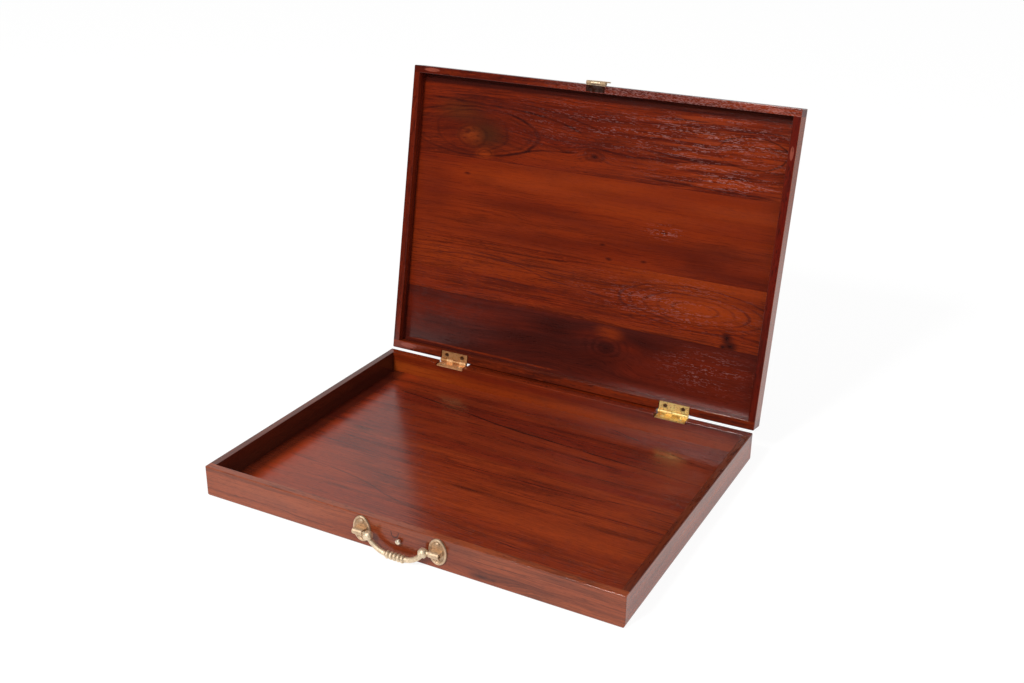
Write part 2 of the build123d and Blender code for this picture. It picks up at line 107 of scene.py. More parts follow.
class WoodSettings(bpy.types.PropertyGroup):
    dark: colour("Dark streaks", "Colour of the dark latewood lines", (0.026, 0.0040, 0.0030))
    red: colour("Red heartwood", "Middle tone of the boards", (0.150, 0.0128, 0.0031))
    orange: colour("Orange heartwood", "Light tone of the boards", (0.275, 0.0355, 0.0045))
    brown: colour("Brown heartwood", "Light tone of the outer faces", (0.285, 0.0620, 0.0200))
    purple: colour("Purple heartwood", "Tone of the darkest boards", (0.060, 0.0095, 0.0065))
    olive: colour("Olive halo", "Tone round the knots", (0.075, 0.0210, 0.0060))
    # a real pale tone for plugs and greyer wood, and the colour of painted glints on pores and rims
    pale: colour("Pale tone and painted glints", "Pale tone of the wood, also the colour of painted glints on pores", (0.40, 0.21, 0.20))
    # painted light on the back wall
    back_wall_glow: colour("Painted back wall glow", "Painted light in streaks on the back wall's lower left", (0.38, 0.070, 0.0090))
    russet: colour("Russet streaks", "Light streaks of the lid's first board", (0.30, 0.038, 0.0070))
    # painted light on the bottom beside the left wall
    bottom_glow: colour("Painted bottom glow", "Painted warm light in streaks on the bottom beside the left wall", (0.34, 0.035, 0.0060))
    varnish_roughness: share("Varnish roughness", "Roughness of the varnish's surface", 0.155)
    varnish_ior: number("Varnish refraction", "Index of refraction, which sets how strongly it mirrors", 1.5)


class BrassSettings(bpy.types.PropertyGroup):
    hinge: colour("Hinge brass", "Warm yellow brass of the right hinge", (1.0, 0.68, 0.27))
    copper: colour("Copper tone", "Redder metal of the left hinge", (0.66, 0.33, 0.13))
    rubbed: colour("Rubbed copper tone", "Brighter metal of the left hinge's lower leaf", (0.90, 0.54, 0.27))
    handle: colour("Handle brass", "Cast brass of the handle's plates", (0.70, 0.52, 0.35))
    bail: colour("Bail brass", "Pale cast brass of the bail", (0.84, 0.69, 0.50))
    hasp: colour("Hasp brass", "Pale brass of the hasp's flap", (0.80, 0.62, 0.42))
    screw: colour("Bright screws", "Whitish brass of the bright screws", (0.85, 0.76, 0.62))
    # real tarnish, also laid as painted shade in the handle's hollow and the bail's grooves
    tarnish: colour("Tarnish", "Brown film in the hollows", (0.20, 0.085, 0.030))
    stain: colour("Stain", "Dark film over the hasp's leaf", (0.050, 0.012, 0.007))
    roughness: share("Roughness", "Roughness of clean brass", 0.30)


class HandleSettings(bpy.types.PropertyGroup):
    border: length("Border width", "Width of the plate's raised border", 2.3 * MM)
    rim: length("Border height", "Height of the plate's raised border", 2.2 * MM)
    field: length("Field height", "Thickness of the plate inside its border", 1.4 * MM)
    socket_radius: length("Socket radius", "Outer radius of the socket that holds a pin", 3.1 * MM)
    socket_bore: length("Socket bore", "Radius of the socket's hole", 1.8 * MM)
    socket_length: length("Socket length", "Length of the socket along the pin", 11.0 * MM)
    socket_web: length("Socket web", "Thickness of the web between socket and plate", 5.0 * MM)
    socket_foot: length("Socket foot", "Where the web ends inside the plate, from the wall", 1.0 * MM)
    socket_ease: length("Socket easing", "Facet on the socket's ends", 0.35 * MM)
    pin_radius: length("Pin radius", "Radius of the bail's pins", 1.75 * MM)
    pin_length: length("Pin length", "Length of the bail's pins outside their collars", 11.0 * MM)
    collar_length: length("Collar length", "Length of the collars along the pins", 8.5 * MM)
    collar_size: length("Collar size", "Height and depth of the collars", 8.0 * MM)
    collar_chamfer: length("Collar chamfer", "Facets cut on the collars' edges", 1.9 * MM)
    collar_drop: length("Collar drop", "From the pins down to the collars' middle", 1.2 * MM)
    flat: length("Flat stretch", "Straight length at the middle of the bail", 15.0 * MM)
    grip_radius: length("Grip radius", "Radius of the bail beside its rings", 2.8 * MM)
    end_radius: length("End radius", "Radius of the bail at its collars", 2.3 * MM)
    ring_radius: length("Ring radius", "Outer radius of the turned rings", 4.05 * MM)
    ring_reach: length("Ring reach", "From the bail's middle line to its lowest point", 4.1 * MM)
    groove_radius: length("Groove radius", "Radius between two rings", 2.9 * MM)
    ring_pitch: length("Ring pitch", "Distance from ring to ring", 4.0 * MM)
    ring_count: IntProperty(name="Rings", description="Number of turned rings", default=5, min=1)


class ScrewSettings(bpy.types.PropertyGroup):
    slot_width: length("Slot width", "Width of the driver's slot", 0.75 * MM)
    slot_depth: length("Slot depth", "Depth of the driver's slot", 0.7 * MM)
    slot_reach: length("Slot reach", "Length of the cut, past both sides of any head", 20.0 * MM)
    seed: IntProperty(name="Seed", description="Turns the slots at random", default=4)


class StudioSettings(bpy.types.PropertyGroup):
    camera_place: place("Camera place", "Where the camera stands", (0.53345, -0.95167, 0.62122))
    camera_turn: angle("Camera turn", "Turn to the left of straight ahead", 0.48897)
    camera_dip: angle("Camera dip", "Slope below the horizon", 0.40621)
    camera_roll: angle("Camera roll", "Roll about the line of sight", 0.0106)
    lens: FloatProperty(
        name="Lens", description="Focal length on a 36 mm sensor", default=42.78, unit="CAMERA"
    )
    key_place: place("Key light place", "Where the main softbox hangs", (-0.58, -2.42, 2.05))
    key_target: place("Key light target", "What the main softbox faces", (0, 0.05, 0.1))
    key_size: length("Key light size", "Side of the main softbox", 0.55)
    key_power: FloatProperty(
        name="Key light", description="Power of the main softbox", default=76, unit="POWER"
    )
    key_tone: colour("Key light tone", "Colour of the main softbox", (1.0, 0.985, 0.96))
    fill: number("Fill", "Strength of the even light from all round", 0.16)
    side_fill: number("Side fill", "Strength of the even light from the right", 1.45)
    top_fill: number("Top fill", "Strength that is added to the even light from above", 0.3)
    backdrop: number("Backdrop", "Brightness of the backdrop in reflections", 0.78)
    room: number("Room", "Brightness of the room in front of the table, in reflections", 0.02)
    floor_reach: length("Floor reach", "How far the floor runs each way", 6.0)
    floor_tone: share("Floor tone", "Brightness of the floor's own surface", 0.86)
    floor_white: share("Floor whiteness", "Share of the floor that stays plain white", 0.80)
    floor_glow: number("Floor glow", "Strength of the floor's plain white", 1.105)
    mirror_white: share("Mirrored whiteness", "The same share for the floor seen in reflections", 0.55)
    table_front: length("Table front", "Where the table ends in front of the box, in reflections", -0.36)


class BoxSettings(bpy.types.PropertyGroup):
    wood: PointerProperty(type=WoodSettings)
    brass: PointerProperty(type=BrassSettings)
    handle: PointerProperty(type=HandleSettings)
    screws: PointerProperty(type=ScrewSettings)
    studio: PointerProperty(type=StudioSettings)


# ---- Shader nodes ----------------------------------------------------------------------
class Socket:
    """A node's output. Operators on it add Math nodes, and node() adds any other node."""

    def __init__(self, tree, output):
        self.tree = tree
        self.output = output

    def math(self, operation, *values):
        return node(self.tree, "ShaderNodeMath", {"operation": operation}, dict(enumerate(values)))[0]

    def __add__(self, other):
        return self.math("ADD", self, other)

    def __sub__(self, other):
        return self.math("SUBTRACT", self, other)

    def __rsub__(self, other):
        return self.math("SUBTRACT", other, self)

    def __mul__(self, other):
        return self.math("MULTIPLY", self, other)

    def __truediv__(self, other):
        return self.math("DIVIDE", self, other)

    def __pow__(self, other):
        return self.math("POWER", self, other)

    def __abs__(self):
        return self.math("ABSOLUTE", self)


def node(tree, kind, settings=None, inputs=None):
    """Add a node: its settings first, then a value or a link for each named socket."""
    added = tree.nodes.new(kind)
    for name, value in (settings or {}).items():
        if name == "points":
            curve_points(added.mapping, value)
        else:
            setattr(added, name, value)
    for name, value in (inputs or {}).items():
        target = added.inputs[name]
        if isinstance(value, Socket):
            tree.links.new(value.output, target)
        else:
            target.default_value = value
    return [Socket(tree, output) for output in added.outputs]


def curve_points(mapping, points):
    curve = mapping.curves[0]
    while len(curve.points) < len(points):
        curve.points.new(1.0, 1.0)
    for point, spot in zip(curve.points, points):
        point.location = spot
    mapping.update()


def climb(tree, value, start, end, low=0.0, high=1.0, kind="SMOOTHSTEP"):
    """From low to high while the value goes from start to end; start may be the larger."""
    inputs = {"Value": value, "From Min": start, "From Max": end, "To Min": low, "To Max": high}
    return node(tree, "ShaderNodeMapRange", {"interpolation_type": kind, "clamp": True}, inputs)[0]


def between(first, second, part):
    """A tone part of the way from one to another."""
    return tuple(a + (b - a) * part for a, b in zip(first, second))


class Paint:
    """A material being painted: a colour that masks are laid over, and what drives its gloss."""

    def __init__(self, name):
        self.material = bpy.data.materials.new(name)
        self.material.use_nodes = True
        self.tree = self.material.node_tree
        self.tree.nodes.clear()
        self.colour = None

    def add(self, kind, settings=None, inputs=None):
        return node(self.tree, kind, settings, inputs)

    def place(self, scale, rotation=(0, 0, 0), offset=(0, 0, 0)):
        """Object coordinates, scaled, then turned, then moved."""
        coordinates = self.add("ShaderNodeTexCoord")[3]
        mapping = {"Vector": coordinates, "Location": offset, "Rotation": rotation, "Scale": (scale,) * 3}
        return self.add("ShaderNodeMapping", {"vector_type": "POINT"}, mapping)[0]

    def split(self, vector):
        return self.add("ShaderNodeSeparateXYZ", inputs={0: vector})

    def vector(self, x, y, z):
        return self.add("ShaderNodeCombineXYZ", inputs={0: x, 1: y, 2: z})[0]

    def noise(self, vector, scale=1.0, detail=2.0, roughness=0.5):
        inputs = {"Vector": vector, "Scale": scale, "Detail": detail, "Roughness": roughness}
        return self.add("ShaderNodeTexNoise", {"noise_dimensions": "3D"}, inputs)[0]

    def rise(self, value, start, end):
        return climb(self.tree, value, start, end)

    def mix(self, factor, first, second):
        opaque = [value if isinstance(value, Socket) else (*value, 1.0) for value in (first, second)]
        settings = {"data_type": "RGBA", "blend_type": "MIX", "clamp_factor": True}
        return self.add("ShaderNodeMix", settings, {0: factor, 6: opaque[0], 7: opaque[1]})[2]

    def lay(self, mask, tone):
        """Lay a tone over the colour so far where the mask is 1."""
        self.colour = self.mix(mask, self.colour, tone)

    def finish(self, inputs, height, strength, distance):
        relief = {"Strength": strength, "Distance": distance, "Height": height}
        bump = self.add("ShaderNodeBump", inputs=relief)[0]
        surface = {"Base Color": self.colour, "Normal": bump, **inputs}
        shader = self.add("ShaderNodeBsdfPrincipled", inputs=surface)[0]
        self.add("ShaderNodeOutputMaterial", inputs={"Surface": shader})
        return self.material


# ---- Wood ------------------------------------------------------------------------------
class Board(Paint):
    """Varnished figured wood. Its coordinates are millimetres on the closed box, named
    along the grain, across the board's face and through its thickness."""

    def __init__(self, wood, name, axes, seed, waviness=7.0, on_lid=False):
        super().__init__(name)
        self.wood = wood
        self.seed = seed
        turn = Euler((lid_open if on_lid else 0, 0, 0))
        offset = (hinge_point - turn.to_matrix() @ hinge_point) / MM
        closed = self.split(self.place(1 / MM, turn, offset))
        along, across, through = [closed["XYZ".index(axis)] for axis in axes]
        wander = self.noise(self.vector(along / 230, across / 70, through / 50 + seed), detail=3)
        ripple = self.noise(self.vector(along / 34, across / 12, through / 12 + seed), detail=2)
        self.along, self.across, self.through = along, across, through
        self.field = across + (wander - 0.5) * (2 * waviness) + (ripple - 0.5) * 1.8
        self.shift = (ripple - 0.5) * 4

    def around(self, spot, radii):
        """Distance from a spot on the board, 1 on an ellipse with these radii, a little ragged."""
        x = (self.along + self.shift * 2.0 - spot[0]) / radii[0]
        y = (self.across + self.shift - spot[1]) / radii[1]
        return (x * x + y * y) ** 0.5

    def soft(self, spot, radii):
        """1 at a spot on the board, falling to 0 at twice the radii."""
        return self.rise(self.around(spot, radii), 2.0, 0.0)

    def bend_round(self, spot, radii, depth):
        """Make the grain flow round a spot."""
        self.field = self.field + self.soft(spot, radii) * depth

    def streaks(self, width, reach, salt, detail=2.0):
        """Noise drawn out along the grain, from lines as wide and as long as said."""
        stretched = self.vector(
            self.along / reach, self.field / width, self.through / (3 * width) + self.seed + salt
        )
        return self.noise(stretched, detail=detail)

    def tint(self, tone, *spots):
        """Soft spots of one tone, each a place, its radii and its strength."""
        for spot, radii, strength in spots:
            self.lay(self.soft(spot, radii) * strength, tone)

    def shade(self, strength, tone, along=None, across=None, streaks=None):
        """A tone that rises from one line to another along or across the board, plain or in
        streaks (their width, reach and salt, and the noise at which they start and end)."""
        mask = strength
        for value, reach in ((self.along, along), (self.across, across)):
            if reach:
                mask = self.rise(value, *reach) * mask
        if streaks:
            mask = self.rise(self.streaks(*streaks[:3]), *streaks[3:]) * mask
        self.lay(mask, tone)

    def vein(self, tone, width, strength, *points):
        """A line that runs along the board through a few points."""
        start, end = points[0][0], points[-1][0]
        low = min(y for _, y in points) - 1
        high = max(y for _, y in points) + 1
        curve = [((x - start) / (end - start), (y - low) / (high - low)) for x, y in points]
        part = climb(self.tree, self.along, start, end, kind="LINEAR")
        course = self.add("ShaderNodeFloatCurve", {"points": curve}, {"Value": part})[0] * (high - low) + low
        off = abs(self.across + self.shift * 0.6 - course)
        ends = self.rise(self.along, start, start + 25) * self.rise(self.along, end, end - 25)
        broken = self.rise(self.noise(self.vector(self.along / 25, self.seed, 0.0)), 0.3, 0.6) * 0.5 + 0.5
        self.lay(self.rise(off, width, width * 0.2) * ends * broken * strength, tone)

    def loops(self, tone, width, spot, *rings):
        """Broken lines round a knot, each with its radii and strength."""
        for radii, strength in rings:
            off = abs(self.around(spot, radii) - 1.0) * min(radii)
            patches = self.noise(self.vector(self.along / 30, self.across / 12, self.seed + 3.0))
            broken = self.rise(patches, 0.32, 0.58) * 0.6 + 0.4
            self.lay(self.rise(off, width, width * 0.2) * broken * strength, tone)

    def figure(self, base, light, lines=0.5, fibres=0.4, coarse=1.0):
        """The board's own colour of broad bands, lines and fibres that follow the grain, and over it painted
        glints on the finest fibres.
        """
        dark = self.wood.dark
        glint = tuple(min(1.0, channel * 1.5) for channel in light)
        self.colour = self.mix(self.rise(self.streaks(17.0 * coarse, 480, 1.0), 0.36, 0.64), base, light)
        cloud = self.noise(self.vector(self.along / 95, self.across / 24, self.seed + 9.0), detail=2)
        self.lay(self.rise(cloud, 0.46, 0.74) * 0.4, dark)
        for width, reach, salt, detail, start, end, strength, tone in (
            (6.2 * coarse, 330, 2.0, 3, 0.53, 0.68, lines, dark),
            (2.0 * coarse, 170, 3.0, 3, 0.50, 0.68, lines, dark),
            (1.5, 80, 4.0, 2, 0.52, 0.70, fibres, light),
            (0.9, 34, 5.0, 2, 0.50, 0.66, fibres, dark),
            # painted glints on the finest fibres
            (0.7, 11, 5.5, 2, 0.58, 0.72, fibres * 0.8, glint),
        ):
            self.lay(self.rise(self.streaks(width, reach, salt, detail), start, end) * strength, tone)

    def pores(self, strength=0.55):
        """Short open pores, darker than the wood round them."""
        self.pore = self.rise(self.streaks(0.55, 8.0, 6.0, detail=1.0), 0.58, 0.70)
        self.lay(self.pore * strength, self.wood.dark)

    def painted_glints(self, spot, radii, strength, openness=0.5, mask=1.0):
        """Painted glints: straight pores painted pale where they catch the light, over part of the board."""
        row = self.field.math("FLOOR", self.field / 0.45)
        step = self.vector(self.along / 5.5, row * 7.31, self.seed + 7.0)
        patch = self.vector(self.along / 34.0, self.across / 4.5, self.seed + 8.0)
        dashes = self.rise(self.noise(step, detail=1.0), 0.68 - openness * 0.2, 0.74 - openness * 0.2)
        clumps = self.rise(self.noise(patch), 0.38, 0.62)
        self.lay(dashes * clumps * self.soft(spot, radii) * mask * strength, self.wood.pale)

    def seams(self, lines, strength):
        """Thin dark glue lines along the board's edges."""
        for line in lines:
            self.lay(self.rise(abs(self.across - line), 0.55, 0.15) * strength, self.wood.dark)

    def plug(self, spot, radii):
        """A pale oval on the rim, at a place along the wall and through it."""
        x = (self.along + self.shift * 0.4 - spot[0]) / radii[0]
        y = (self.through - spot[1]) / radii[1]
        tone = between(self.wood.orange, self.wood.pale, 0.2)
        self.lay(self.rise((x * x + y * y) ** 0.5, 1.15, 0.85) * 0.7, tone)

    def varnished(self, dull=0.0):
        wood = self.wood
        speckle = self.noise(self.vector(self.along / 3, self.across / 3, self.through / 3))
        height = self.pore * -1.0 + self.streaks(1.1, 60, 8.0) * 0.5 + speckle * 0.12
        gloss = self.rise(self.streaks(9, 90, 9.0), 0.2, 0.8) * 0.06 + (wood.varnish_roughness - 0.03 + dull)
        return self.finish({"Roughness": gloss, "IOR": wood.varnish_ior}, height, 0.2, 0.00012)


def far_edge(name, on_lid):
    """The back edge of a board of the closed box, in the wood's millimetres."""
    turn = Euler((lid_open if on_lid else 0, 0, 0)).to_matrix()
    closed = [turn @ (vertex.co - hinge_point) + hinge_point for vertex in nodes[name].data.vertices]
    return max(spot.y for spot in closed) / MM


def seam_lines(name, count, on_lid=False):
    """Glue lines between numbered boards, from the front to the back."""
    return [far_edge(f"{name}_{index}", on_lid) for index in range(1, count)]


def base_front_board(wood):
    board = Board(wood, "Base front wood", "XZY", 3.1, waviness=3.0)
    brown, dark = wood.brown, wood.dark
    board.bend_round((95, 3), (30, 6), 6)
    board.figure(between(wood.red, brown, 0.75), brown, lines=0.38, fibres=0.35, coarse=0.7)
    board.tint(between(brown, wood.pale, 0.15), ((-140, 16), (60, 12), 0.4))
    board.tint(between(wood.red, dark, 0.2), ((0, 12), (60, 16), 0.5))
    board.tint(dark, ((87, 6.5), (10, 2.0), 0.85))
    board.vein(dark, 0.9, 0.55, (-200, 8), (-150, 11), (-95, 9), (-60, 12))
    board.vein(dark, 0.8, 0.5, (60, 24), (110, 21), (150, 24), (200, 22))
    board.pores(0.4)
    # a small curved scratch beside the stud
    ring = abs(board.around((-2.5, 26.0), (4.2, 6.2)) - 1.0) * 4.2
    board.lay(board.rise(ring, 0.7, 0.25) * board.rise(board.across, 26.5, 24.5) * 0.8, dark)
    return board.varnished()


def base_back_board(wood):
    board = Board(wood, "Base back wood", "XZY", 7.7, waviness=3.0)
    board.figure(wood.red, between(wood.red, wood.orange, 0.6), lines=0.4, fibres=0.35)
    # painted light: the lower part of the back wall brighter and more orange
    board.shade(0.7, wood.orange, across=(25, 12))
    # painted light in streaks on the lower left of the back wall
    board.shade(0.5, wood.back_wall_glow, along=(-90, -190), across=(27, 20), streaks=(6, 80, 3.5, 0.3, 0.6))
    board.pores(0.4)
    return board.varnished()


def base_end_board(wood, name, seed, inner_shade):
    """An end wall, its inner face darkened by a share as painted shade, and painted glints on its outer face.
    """
    board = Board(wood, name, "YZX", seed, waviness=3.0)
    off_middle = abs(board.through)
    board.figure(between(wood.red, wood.brown, 0.5), wood.brown, lines=0.35, fibres=0.35)
    # painted shade on the inner face
    board.lay(board.rise(off_middle, inner_face + 0.4, inner_face + 0.1) * inner_shade, wood.dark)
    board.shade(0.55, wood.dark, across=(base_rim - 0.7, base_rim - 0.2))
    board.pores(0.4)
    # painted glints of pores on the outer face, below the rim
    outside = board.rise(off_middle, inner_face + 4, inner_face + 6)
    below_rim = board.rise(board.across, base_rim - 0.4, base_rim - 0.8)
    board.painted_glints((0, 16), (300, 60), 0.22, 0.55, outside * below_rim)
    return board.varnished()


def batten_board(wood):
    board = Board(wood, "Batten wood", "XZY", 61.0)
    board.figure(wood.red, between(wood.red, wood.orange, 0.3))
    board.pores()
    return board.varnished()


def bottom_tones(wood):
    """The bottom's red, orange and dark: the first two a little greyer than the lid's."""
    return between(wood.red, wood.pale, 0.013), between(wood.orange, wood.pale, 0.02), wood.dark


def finish_bottom(board, seams, strength):
    """Pores and glue lines, painted light and painted shadow along the left wall, and a slightly dull
    varnish.
    """
    board.pores(0.45)
    board.seams(seams, strength)
    # painted light in warm streaks a little way from the left wall
    glow_band = board.rise(board.along, -206, -198) * board.rise(board.along, -165, -190)
    board.lay(glow_band * board.rise(board.streaks(9, 60, 3.5), 0.35, 0.6) * 0.5, board.wood.bottom_glow)
    # painted shadow of the left wall on the bottom
    board.shade(0.7, board.wood.dark, along=(-193, -208))
    return board.varnished(0.04)


def bottom_board_front(wood, seams):
    board = Board(wood, "Bottom front wood", "XYZ", 11.3)
    red, orange, dark = bottom_tones(wood)
    board.figure(between(red, orange, 0.4), between(red, orange, 0.9), lines=0.3, fibres=0.55, coarse=1.3)
    board.tint(orange, ((110, -70), (80, 16), 0.6), ((-170, -100), (40, 60), 0.5))
    board.vein(dark, 1.5, 0.5, (-210, -68), (-120, -76), (-40, -98), (60, -112), (200, -118))
    board.vein(dark, 2.2, 0.4, (-50, -90), (20, -105), (110, -110), (210, -106))
    board.tint(dark, ((5, -44), (16, 2.5), 0.7), ((160, -49), (26, 2.4), 0.6))
    return finish_bottom(board, seams[:1], 0.3)


def bottom_board_middle(wood, seams):
    board = Board(wood, "Bottom middle wood", "XYZ", 15.9)
    red, orange, dark = bottom_tones(wood)
    board.figure(between(red, orange, 0.25), between(red, orange, 0.75), lines=0.34, fibres=0.55, coarse=1.2)
    board.vein(orange, 1.6, 0.9, (-215, -32.6), (-150, -32.4), (-60, -33))
    board.vein(dark, 1.3, 0.7, (20, -31), (110, -30), (150, -27.5), (216, -28))
    board.vein(dark, 1.1, 0.6, (-80, -6), (20, -4), (110, -2), (150, 4), (216, 7))
    board.tint(orange, ((170, 30), (60, 14), 0.5))
    return finish_bottom(board, seams, 0.25)


def bottom_board_back(wood, seams):
    board = Board(wood, "Bottom back wood", "XYZ", 21.2)
    red, orange, dark = bottom_tones(wood)
    board.bend_round((90, 60), (90, 26), 8)
    board.figure(red, between(red, orange, 0.45), lines=0.32, fibres=0.55, coarse=1.3)
    board.shade(0.4, orange, along=(215, 60), across=(136, 150))
    board.vein(dark, 1.8, 0.9, (-200, 117), (-100, 104), (-30, 92), (60, 84), (215, 73))
    board.vein(dark, 1.5, 0.7, (100, 42), (128, 54), (152, 66))
    board.vein(dark, 2.4, 0.45, (-20, 69), (60, 68), (130, 64))
    board.vein(dark, 2.4, 0.5, (60, 148), (130, 128), (215, 105))
    board.tint(orange, ((190, 85), (40, 26), 0.4))
    return finish_bottom(board, seams[1:], 0.25)


def lid_board_first(wood, seams):
    board = Board(wood, "Lid wood with the large knot", "XYZ", 31.4, on_lid=True)
    red, orange, dark, olive = wood.red, wood.orange, wood.dark, wood.olive
    board.bend_round((-140, -104), (62, 26), 10)
    board.bend_round((3, -92), (16, 7), 6)
    board.figure(between(red, dark, 0.2), between(red, orange, 0.2), lines=0.42, fibres=0.5, coarse=0.75)
    board.shade(0.6, wood.russet, along=(0, 120), streaks=(4, 70, 2.5, 0.42, 0.6))
    board.shade(0.55, dark, along=(20, 120), streaks=(1.8, 60, 2.7, 0.52, 0.66))
    board.tint(between(red, orange, 0.5), ((-30, -82), (80, 9), 0.5))
    # the large knot, its halo and the wood that flows round it
    board.tint(between(red, dark, 0.6), ((-146, -97), (40, 21), 0.55))
    board.tint(between(olive, dark, 0.45), ((-132, -99), (20, 13), 0.9))
    board.tint(between(red, dark, 0.7), ((-60, -124), (70, 12), 0.4))
    board.tint(olive, ((-168, -122), (22, 9), 0.55))
    core = board.soft((-151, -95), (11, 8)) * board.rise(board.streaks(4, 12, 2.2), 0.25, 0.6)
    board.lay(core * 0.85, between(orange, olive, 0.35))
    board.tint(orange, ((-131, -77), (9, 5), 0.7))
    board.loops(dark, 2.0, (-148, -95), ((18, 12), 0.35))
    board.loops(dark, 1.2, (-131, -77), ((9, 5), 0.4))
    board.loops(dark, 1.5, (-149, -101), ((84, 27), 0.85), ((74, 23), 0.35), ((46, 23), 0.35))
    board.vein(dark, 1.9, 0.85, (-216, -134), (-150, -132), (-70, -127), (-20, -116), (-2, -104))
    board.vein(dark, 1.4, 0.6, (-190, -139), (-90, -137), (-10, -124), (20, -112))
    board.vein(dark, 1.4, 0.8, (-100, -80), (-50, -90), (-5, -92))
    board.vein(dark, 1.3, 0.7, (-216, -84), (-195, -88), (-176, -78))
    # the small knot, and the eye at the right
    board.loops(dark, 2.2, (3, -91.5), ((10, 5), 0.45))
    board.tint(between(red, dark, 0.7), ((3, -91), (7, 4), 0.5))
    board.tint(dark, ((3, -91.5), (3.2, 1.8), 0.95))
    board.loops(dark, 1.0, (178, -116), ((38, 16), 0.7))
    board.tint(between(red, orange, 0.6), ((178, -114), (26, 9), 0.35))
    board.vein(dark, 1.6, 0.6, (60, -78), (120, -74.5), (216, -74))
    board.pores()
    # painted glints of pores
    board.painted_glints((150, -125), (66, 24), 0.42, 0.62)
    board.painted_glints((150, -84), (62, 10), 0.42, 0.6)
    board.painted_glints((20, -122), (90, 22), 0.3, 0.5)
    # painted shadow of the lid's top wall along the panel's edge
    board.shade(0.8, dark, across=(-147.5, -151))
    board.seams(seams[:1], 0.4)
    return board.varnished()


def lid_board_second(wood, seams):
    board = Board(wood, "Lid wood, plain", "XYZ", 37.8, waviness=9.0, on_lid=True)
    red, orange, dark = wood.red, wood.orange, wood.dark
    board.figure(between(red, dark, 0.15), between(red, orange, 0.35), lines=0.2, fibres=0.35, coarse=1.6)
    board.shade(0.4, between(red, orange, 0.6), along=(-216, -60), across=(-34, -66))
    board.tint(
        orange, ((-60, -50), (70, 9), 0.4), ((60, -38), (60, 7), 0.4),
        ((170, -50), (50, 8), 0.4), ((20, -62), (60, 5), 0.4),
    )
    board.tint(
        between(red, dark, 0.5), ((-190, -30), (22, 30), 0.5), ((-70, -24), (60, 6), 0.75),
        ((10, -16), (60, 6), 0.5), ((110, -4), (70, 8), 0.7), ((-60, 12), (70, 5), 0.6),
        ((170, 12), (60, 7), 0.65), ((-20, 4), (50, 4), 0.4),
    )
    for spot in ((95, -21), (25, 2), (35, 17), (75, 13), (-150, -52)):
        board.tint(dark, (spot, (3, 1.2), 0.8))
    board.pores(0.25)
    # painted glints of pores
    board.painted_glints((95, -22), (16, 6), 0.45)
    board.seams(seams[:2], 0.35)
    return board.varnished()


def lid_board_third(wood, seams):
    board = Board(wood, "Lid wood with the flame", "XYZ", 43.5, on_lid=True)
    red, orange, dark, purple = wood.red, wood.orange, wood.dark, wood.purple
    board.bend_round((150, 54), (62, 17), 9)
    board.figure(between(red, orange, 0.15), between(red, orange, 0.55), lines=0.4, fibres=0.5, coarse=0.8)
    board.tint(orange, ((150, 52), (50, 14), 0.8))
    board.shade(0.7, orange, along=(-20, 120), across=(40, 26))
    board.loops(
        purple, 0.9, (140, 54),
        ((88, 23), 0.7), ((76, 19), 0.45), ((60, 15), 0.65), ((44, 11), 0.35), ((26, 7), 0.4),
    )
    board.vein(dark, 1.4, 0.6, (-216, 34), (-150, 31), (-60, 30), (20, 24))
    board.vein(purple, 0.9, 0.7, (-216, 41), (-140, 36), (-60, 42), (20, 46), (70, 40))
    board.vein(purple, 1.2, 0.7, (-200, 47), (-110, 40), (-30, 52), (60, 62), (140, 78))
    board.vein(purple, 1.0, 0.6, (-120, 62), (-30, 66), (60, 74), (120, 84))
    board.tint(dark, ((179, 78), (4.5, 5), 1.0), ((184, 86), (6.5, 5), 1.0), ((176, 88), (3, 2), 1.0))
    board.pores()
    # painted glints of pores
    board.painted_glints((110, 50), (80, 20), 0.26, 0.6)
    board.seams(seams[1:], 0.4)
    return board.varnished()


def lid_board_fourth(wood, seams):
    board = Board(wood, "Lid wood, dark", "XYZ", 49.1, waviness=10.0, on_lid=True)
    red, orange, dark, purple = wood.red, wood.orange, wood.dark, wood.purple
    board.bend_round((45, 116), (32, 18), 14)
    board.bend_round((-30, 128), (70, 22), 9)
    board.figure(purple, between(purple, red, 0.55), lines=0.35, fibres=0.35, coarse=1.2)
    board.tint(
        red, ((-205, 118), (12, 16), 0.4), ((-140, 106), (40, 8), 0.35), ((150, 104), (60, 12), 0.55),
        ((170, 136), (60, 14), 0.45), ((90, 128), (40, 10), 0.4),
    )
    board.tint(
        dark, ((-20, 106), (26, 9), 0.8), ((-50, 128), (40, 12), 0.6), ((20, 132), (34, 9), 0.55),
        ((86, 104), (34, 9), 0.7),
    )
    board.tint(between(red, orange, 0.6), ((46, 98), (12, 6), 0.85))
    board.tint(red, ((70, 112), (12, 5), 0.5))
    board.loops(dark, 2.0, (44, 115), ((26, 17), 0.3), ((17, 11), 0.45), ((9, 6), 0.4))
    board.tint(dark, ((44, 116), (7, 5), 0.8))
    # painted reflection: a paler band on the panel by the lid's back wall, towards the right
    board.shade(0.6, between(red, wood.pale, 0.12), along=(20, 140), across=(146, 156))
    # painted highlight: a lighter line along the panel's edge by the back wall, on the left
    board.vein(between(red, orange, 0.4), 1.6, 0.8, (-216, 154), (-150, 153.5), (-60, 154), (0, 154))
    board.pores()
    # painted glints of pores
    board.painted_glints((165, 118), (44, 18), 0.32, 0.55)
    board.seams(seams[2:], 0.5)
    return board.varnished()


